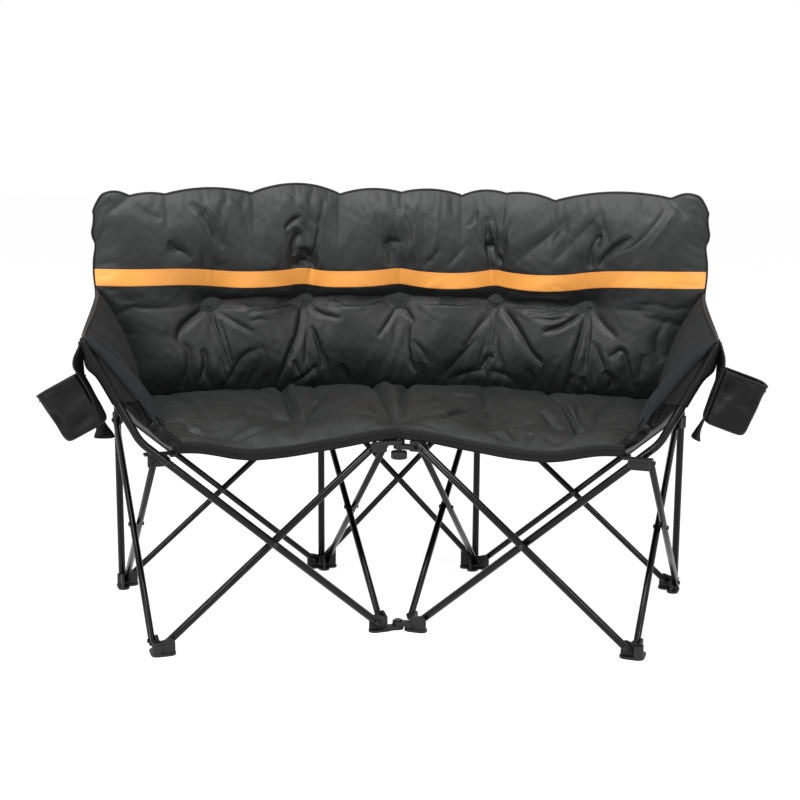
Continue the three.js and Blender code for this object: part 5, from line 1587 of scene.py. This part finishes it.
class LOVESEAT_OT_sleeves(bpy.types.Operator):
    """Dark sleeves over the arm tubes, with the gathered panels below them"""

    bl_idname = "loveseat.sleeves"
    bl_label = "Sleeves"

    def execute(self, context):
        for side in SIDES:
            self.add_sleeve(side)
            self.add_gusset(side)
        return {"FINISHED"}

    def add_sleeve(self, side):
        """Tunnel round the tube, drawn out to a flat panel that reaches the rim, with two seams."""
        turn = np.radians(np.linspace(-SLEEVE_WRAP, SLEEVE_WRAP, 27))
        web = np.linspace(0, 0.9, 9)
        rings = []
        for share in np.linspace(0, 1, 56):
            from_end = mix(SLEEVE_MOUTH, -SLEEVE_PAST_END, share)
            middle, half = rim_at(from_end + SLEEVE_SLANT * (1 - share))
            reach = middle - half + UNDER_RIM
            puff = SLEEVE_ROUND + 0.5 * MM * drift(from_end, 0.0, 51, 50 * MM)
            tip = np.clip((from_end + SLEEVE_PAST_END) / SLEEVE_CLOSING, 0, 1)
            puff *= mix(SLEEVE_TIP, 1.0, tip ** 0.5)
            loose = SLEEVE_LOOSE * np.exp(-(((from_end - SLEEVE_LOOSE_AT) / SLEEVE_LOOSE_HALF) ** 2))
            away = np.cos(turn) * puff + np.clip(np.cos(turn), 0, 1) * loose
            back = np.sin(turn) * puff
            flat = mix(-reach, away[0], web)
            thick = mix(SLEEVE_WEB, abs(back[0]), web ** 3)
            away = np.concatenate([flat, away, flat[::-1]])
            back = np.concatenate([-thick, back, thick[::-1]])
            lower = from_end + SLEEVE_SLANT * (1 - share) * np.clip(-away / SLEEVE_PANEL, 0, 1)
            spot = arm_point(lower, away)
            ripple = SLEEVE_RIPPLE * drift(away * 1.3, lower * 0.5, 53 + HAND[side], 30 * MM)
            behind = HAND[side] * ARM_OFFSET + back + ripple
            rings.append(from_front_leg(side, spot[:, 0], behind, spot[:, 1]))
        rings = np.array(rings)
        sleeve = loft_piece(f"arm_sleeve_cloth_{side}", rings, "trim_polyester")
        place_on(sleeve, f"arm_{side}", "trim_cloth", f"arm_sleeve_{side}")
        for name, column in (("tunnel", 7), ("panel", 4)):
            seam = rings[3:-8, column] - backwards(side) * 0.3 * MM
            stitches = stitch_line(f"sleeve_{name}_stitches_{side}", seam)
            place_on(stitches, f"arm_{side}", "trim_cloth")

    def add_gusset(self, side):
        """Loose gathered panel between the mouth of the sleeve, the rim and the seat's corner."""
        u, v = np.meshgrid(np.linspace(0, 1, 48), np.linspace(0, 1, 34))
        from_end = mix(GUSSET_EDGE[0, 0], GUSSET_EDGE[-1, 0], u)
        middle, half = rim_at(from_end)
        edge = eased_line(GUSSET_EDGE)
        away = -mix(middle - half + GUSSET_UNDER_RIM, np.interp(from_end, edge[:, 0], edge[:, 1]), v)
        uneven = 0.35 * drift(u * 0.1, v * 0.02, 61, 60 * MM)
        gather = np.sin(2 * np.pi * (GUSSET_GATHERS * v + uneven + 0.2 * HAND[side]))
        fold = GUSSET_FOLD * gather * np.sin(np.pi * v) ** 0.5 * np.sin(np.pi * mix(0.12, 0.95, u))
        back = HAND[side] * ARM_OFFSET + GUSSET_BEHIND + GUSSET_BELLY * np.sin(np.pi * v) * (1 - u) + fold
        spot = arm_point(from_end, away)
        front = from_front_leg(side, spot[..., 0], back - GUSSET_HALF, spot[..., 1])
        rear = from_front_leg(side, spot[..., 0], back + GUSSET_HALF, spot[..., 1])
        panel = closed_pad(f"arm_gusset_{side}", front, rear, "trim_polyester")
        place_on(panel, f"arm_{side}", "trim_cloth")
        path = (front + rear)[-1] / 2
        edge_tape = tube_piece(f"arm_gusset_binding_{side}", path, GUSSET_TAPE, TAPE_SIDES, "binding_tape")
        place_on(edge_tape, f"arm_{side}", "trim_cloth")


class LOVESEAT_OT_pouches(bpy.types.Operator):
    """Cup pouches hung from the arm tips, with bound edges and a tongue below"""

    bl_idname = "loveseat.pouches"
    bl_label = "Cup pouches"

    def execute(self, context):
        for side in SIDES:
            self.add_pouch(side)
            self.add_flap(side)
        return {"FINISHED"}

    def hung(self, side, out, back, height):
        """Point of a pouch, which is turned about the upright line through the arm's tip."""
        cosine, sine = math.cos(POUCH_TURN[side]), math.sin(POUCH_TURN[side])
        away, behind = out - ARM_END[0], back - POUCH_BACKSET
        turned_out = ARM_END[0] + away * cosine - behind * sine
        turned_back = POUCH_BACKSET + away * sine + behind * cosine
        return from_front_leg(side, turned_out, turned_back, height)

    def ring(self, side, distance, width, depth, count=64):
        """Rounded square round the pouch's leaning axis, drawn in along its creases."""
        angle = np.linspace(0, 2 * math.pi, count, endpoint=False)
        lean, upright = math.sin(POUCH_TILT[side]), math.cos(POUCH_TILT[side])
        across = squarer(np.cos(angle), POUCH_SQUARENESS) * width / 2
        facing = squarer(np.sin(angle), POUCH_SQUARENESS)
        drawn = fold_depth(across, 0 * across + distance, POUCH_FOLDS[side]) * np.clip(-facing, 0, 1)
        slack = POUCH_SLACK * drift(across, distance + facing * 0.05, 71 + HAND[side], 60 * MM)
        slack = slack + 1.6 * creases(across, 0 * across + distance, 73 + HAND[side])
        drawn = drawn - slack * np.abs(facing)
        drawn = drawn * np.sin(np.pi * np.clip(distance / POUCH_HEIGHT, 0, 1)) ** 0.4
        back = POUCH_BACKSET + facing * depth / 2 - np.sign(facing) * drawn
        foot = POUCH_FOOT[side]
        out = foot[0] + lean * distance + upright * across
        height = foot[1] + upright * distance - lean * across
        return self.hung(side, out, back, height)

    def add_pouch(self, side):
        shares = np.linspace(0, 1, 44)
        rings = []

        def add(share, shrink):
            width = mix(POUCH_FLOOR, POUCH_MOUTH, share) - shrink
            depth = mix(POUCH_FLOOR, POUCH_MOUTH, share) * POUCH_DEPTH / POUCH_MOUTH - shrink
            rings.append(self.ring(side, share * POUCH_HEIGHT, width, depth))

        def rounding(share):
            """How far the rounded foot draws a ring in."""
            low = np.clip(1 - share * POUCH_HEIGHT / POUCH_ROUND, 0, 1)
            return POUCH_ROUND * (1 - np.sqrt(1 - low ** 2))

        add(0.0, POUCH_HOLLOW)
        add(0.0, POUCH_ROUND + 1 * MM)
        for share in shares[1:]:
            add(share, rounding(share))
        for share in shares[::-1][1:-1]:
            add(share, rounding(share) + 2 * POUCH_WALL)
        add(POUCH_INSIDE, rounding(POUCH_INSIDE) + 9 * MM)
        pouch = loft_piece(f"cup_pouch_{side}", np.array(rings), "trim_polyester")
        place_on(pouch, f"cup_holder_{side}", "trim_cloth", f"cup_holder_{side}")
        for name, below, wider, radius, facets in (
            ("binding", 0.0, -2 * MM, POUCH_TAPE, TAPE_SIDES),
            ("seam", POUCH_SEAM, 0.6 * MM, POUCH_CORD, CORD_SIDES),
        ):
            loop = self.ring(side, POUCH_HEIGHT - below, POUCH_MOUTH + wider, POUCH_DEPTH + wider, 96)
            path = np.concatenate([loop, loop[:1]])
            tape = tube_piece(f"cup_mouth_{name}_{side}", path, radius, facets, "binding_tape")
            place_on(tape, f"cup_holder_{side}", "trim_cloth")

    def add_flap(self, side):
        """Panel from the arm tip past the pouch to a rounded tongue, with bound edges."""
        near, far = (spread_line(line, FLAP_STEPS) for line in FLAP_EDGES[side])
        place = np.linspace(0, 1, FLAP_STEPS)
        round_end = np.sqrt(1 - np.clip((place - FLAP_ROUND) / FLAP_ROUND_SPAN, 0, 1) ** 2)
        share = 0.5 + np.linspace(-0.5, 0.5, 25)[None] * round_end[:, None]
        narrow = np.clip(1 - place / FLAP_GATHER, 0, 1)[:, None]
        share = share * (1 - FLAP_NARROW * narrow) + FLAP_NARROW / 2 * narrow
        spot = mix(near[:, None], far[:, None], share[..., None])
        curl = FLAP_CURL * drift(share * 0.06, place[:, None] * 0.2, 81 + HAND[side], 60 * MM)
        out, back, height = spot[..., 0] + curl, mix(*FLAP_BACK, share), spot[..., 1]
        face = from_front_leg(side, out + FLAP_HALF, back, height)
        under = from_front_leg(side, out - FLAP_HALF, back, height)
        flap = closed_pad(f"cup_flap_{side}", face, under, "trim_polyester")
        place_on(flap, f"cup_holder_{side}", "trim_cloth")
        middle = (face + under) / 2
        path = np.concatenate([middle[:, 0], middle[::-1, -1]])
        tape = tube_piece(f"cup_flap_binding_{side}", path, FLAP_TAPE, TAPE_SIDES, "binding_tape")
        place_on(tape, f"cup_holder_{side}", "trim_cloth")


# Stage

CAMERA_AWAY = 2.797  # before the hinge axis
CAMERA_HEIGHT = 0.988
CAMERA_DOWN = math.radians(10.07)
CAMERA_ROLL = math.radians(0.396)
FLOOR_HALF = 30  # metres
FLOOR_GLOW = 1.54
FLOOR_GLOW_SHARE = 0.6  # the rest of what is seen is the lit paper with its shadow
SKY_LIGHT = 0.18


class LOVESEAT_OT_stage(bpy.types.Operator):
    """Pale floor, soft studio light and the camera"""

    bl_idname = "loveseat.stage"
    bl_label = "Stage"

    def execute(self, context):
        scene = context.scene
        scene.view_settings.view_transform = "Standard"
        corners = FLOOR_HALF * np.array([(-1, -1, 0), (1, -1, 0), (1, 1, 0), (-1, 1, 0)])
        floor = mesh_object("studio_floor", corners, [(0, 1, 2, 3)], "powder_coat", smooth=False)
        floor.data.materials[0] = self.floor_material()
        self.add_camera(scene)
        self.add_lights(scene)
        return {"FINISHED"}

    def seen_ray(self, tree):
        """1 for rays from the camera, in gloss or through glass, 0 for light that falls on the object."""
        path = add_node(tree, "ShaderNodeLightPath")
        gloss = add_node(
            tree, "ShaderNodeMath",
            {0: path.outputs["Is Glossy Ray"], 1: path.outputs["Is Transmission Ray"]}, operation="MAXIMUM")
        seen = add_node(
            tree, "ShaderNodeMath",
            {0: path.outputs["Is Camera Ray"], 1: gloss.outputs["Value"]}, operation="MAXIMUM")
        return seen.outputs["Value"]

    def floor_material(self):
        """Matt white paper, shown nearly white with the chair's soft shadow on it."""
        material, tree, shader = new_material("white_paper")
        shader.inputs["Base Color"].default_value = (0.9, 0.9, 0.9, 1)
        shader.inputs["Roughness"].default_value = 0.9
        shader.inputs["Specular IOR Level"].default_value = 0.0
        glow = add_node(tree, "ShaderNodeEmission", {"Color": (1, 1, 1, 1), "Strength": FLOOR_GLOW})
        share = add_node(
            tree, "ShaderNodeMapRange",
            {"Value": self.seen_ray(tree), "To Min": 0.0, "To Max": FLOOR_GLOW_SHARE})
        blend = add_node(
            tree, "ShaderNodeMixShader",
            {0: share.outputs["Result"], 1: shader.outputs["BSDF"], 2: glow.outputs["Emission"]})
        output = next(node for node in tree.nodes if node.bl_idname == "ShaderNodeOutputMaterial")
        tree.links.new(blend.outputs["Shader"], output.inputs["Surface"])
        return material

    def add_camera(self, scene):
        camera = bpy.data.cameras.new("photo_camera")
        camera.sensor_width = 36
        camera.lens = 62.22
        camera.shift_x = 0.0007
        camera.clip_end = 200
        holder = new_object("photo_camera", camera)
        tilt = Matrix.Rotation(math.radians(90) - CAMERA_DOWN, 4, "X") @ Matrix.Rotation(CAMERA_ROLL, 4, "Z")
        holder.matrix_world = Matrix.Translation((0, HINGE_Y - CAMERA_AWAY, CAMERA_HEIGHT)) @ tilt
        scene.camera = holder

    def add_lights(self, scene):
        def lamp(name, place, aim, size, power):
            light = bpy.data.lights.new(name, "AREA")
            light.shape = "RECTANGLE"
            light.size, light.size_y = size
            light.energy = power
            holder = new_object(name, light)
            holder.location = place
            holder.rotation_euler = (Vector(aim) - Vector(place)).to_track_quat("-Z", "Y").to_euler()

        lamp("top_softbox", (-0.4, -0.9, 3.0), (0, 0, 0.5), (2.6, 1.2), 100)
        lamp("left_strip", (-2.3, -2.5, 1.7), (0, 0, 0.55), (0.28, 1.9), 46)
        lamp("right_strip", (2.3, -2.5, 1.6), (0, 0, 0.5), (0.28, 1.9), 34)
        world = bpy.data.worlds.new("studio_world")
        world.use_nodes = True
        tree = world.node_tree
        tree.nodes.clear()
        strength = add_node(
            tree, "ShaderNodeMapRange", {"Value": self.seen_ray(tree), "To Min": SKY_LIGHT, "To Max": 1.0})
        background = add_node(
            tree, "ShaderNodeBackground", {"Color": (1, 1, 1, 1), "Strength": strength.outputs["Result"]})
        output = add_node(tree, "ShaderNodeOutputWorld")
        tree.links.new(background.outputs["Background"], output.inputs["Surface"])
        scene.world = world


class LOVESEAT_PT_pieces(bpy.types.Panel):
    """Sizes, colours and pieces of the loveseat"""

    bl_idname = "LOVESEAT_PT_pieces"
    bl_label = "Loveseat"
    bl_space_type = "VIEW_3D"
    bl_region_type = "UI"
    bl_category = "Loveseat"

    def draw(self, context):
        scene = context.scene
        for group in (scene.loveseat_frame, scene.loveseat_cloth, scene.loveseat_colours):
            box = self.layout.box()
            for name in group.__annotations__:
                box.prop(group, name)
        for piece in PIECES:
            self.layout.operator(piece.bl_idname)


PIECES = [
    LOVESEAT_OT_stage,
    LOVESEAT_OT_tubes,
    LOVESEAT_OT_mouldings,
    LOVESEAT_OT_rivets,
    LOVESEAT_OT_seat,
    LOVESEAT_OT_back,
    LOVESEAT_OT_wings,
    LOVESEAT_OT_sleeves,
    LOVESEAT_OT_pouches,
]
CLASSES = [LoveseatFrameSizes, LoveseatClothSizes, LoveseatColours, *PIECES, LOVESEAT_PT_pieces]


def register():
    for made in CLASSES:
        bpy.utils.register_class(made)
    bpy.types.Scene.loveseat_frame = PointerProperty(type=LoveseatFrameSizes)
    bpy.types.Scene.loveseat_cloth = PointerProperty(type=LoveseatClothSizes)
    bpy.types.Scene.loveseat_colours = PointerProperty(type=LoveseatColours)


def unregister():
    del bpy.types.Scene.loveseat_frame
    del bpy.types.Scene.loveseat_cloth
    del bpy.types.Scene.loveseat_colours
    for made in reversed(CLASSES):
        bpy.utils.unregister_class(made)


def main():
    register()
    make_materials()
    bpy.ops.loveseat.stage()
    bpy.ops.loveseat.tubes()
    bpy.ops.loveseat.mouldings()
    bpy.ops.loveseat.rivets()
    bpy.ops.loveseat.seat()
    bpy.ops.loveseat.back()
    bpy.ops.loveseat.wings()
    bpy.ops.loveseat.sleeves()
    bpy.ops.loveseat.pouches()


if __name__ == "__main__":
    main()
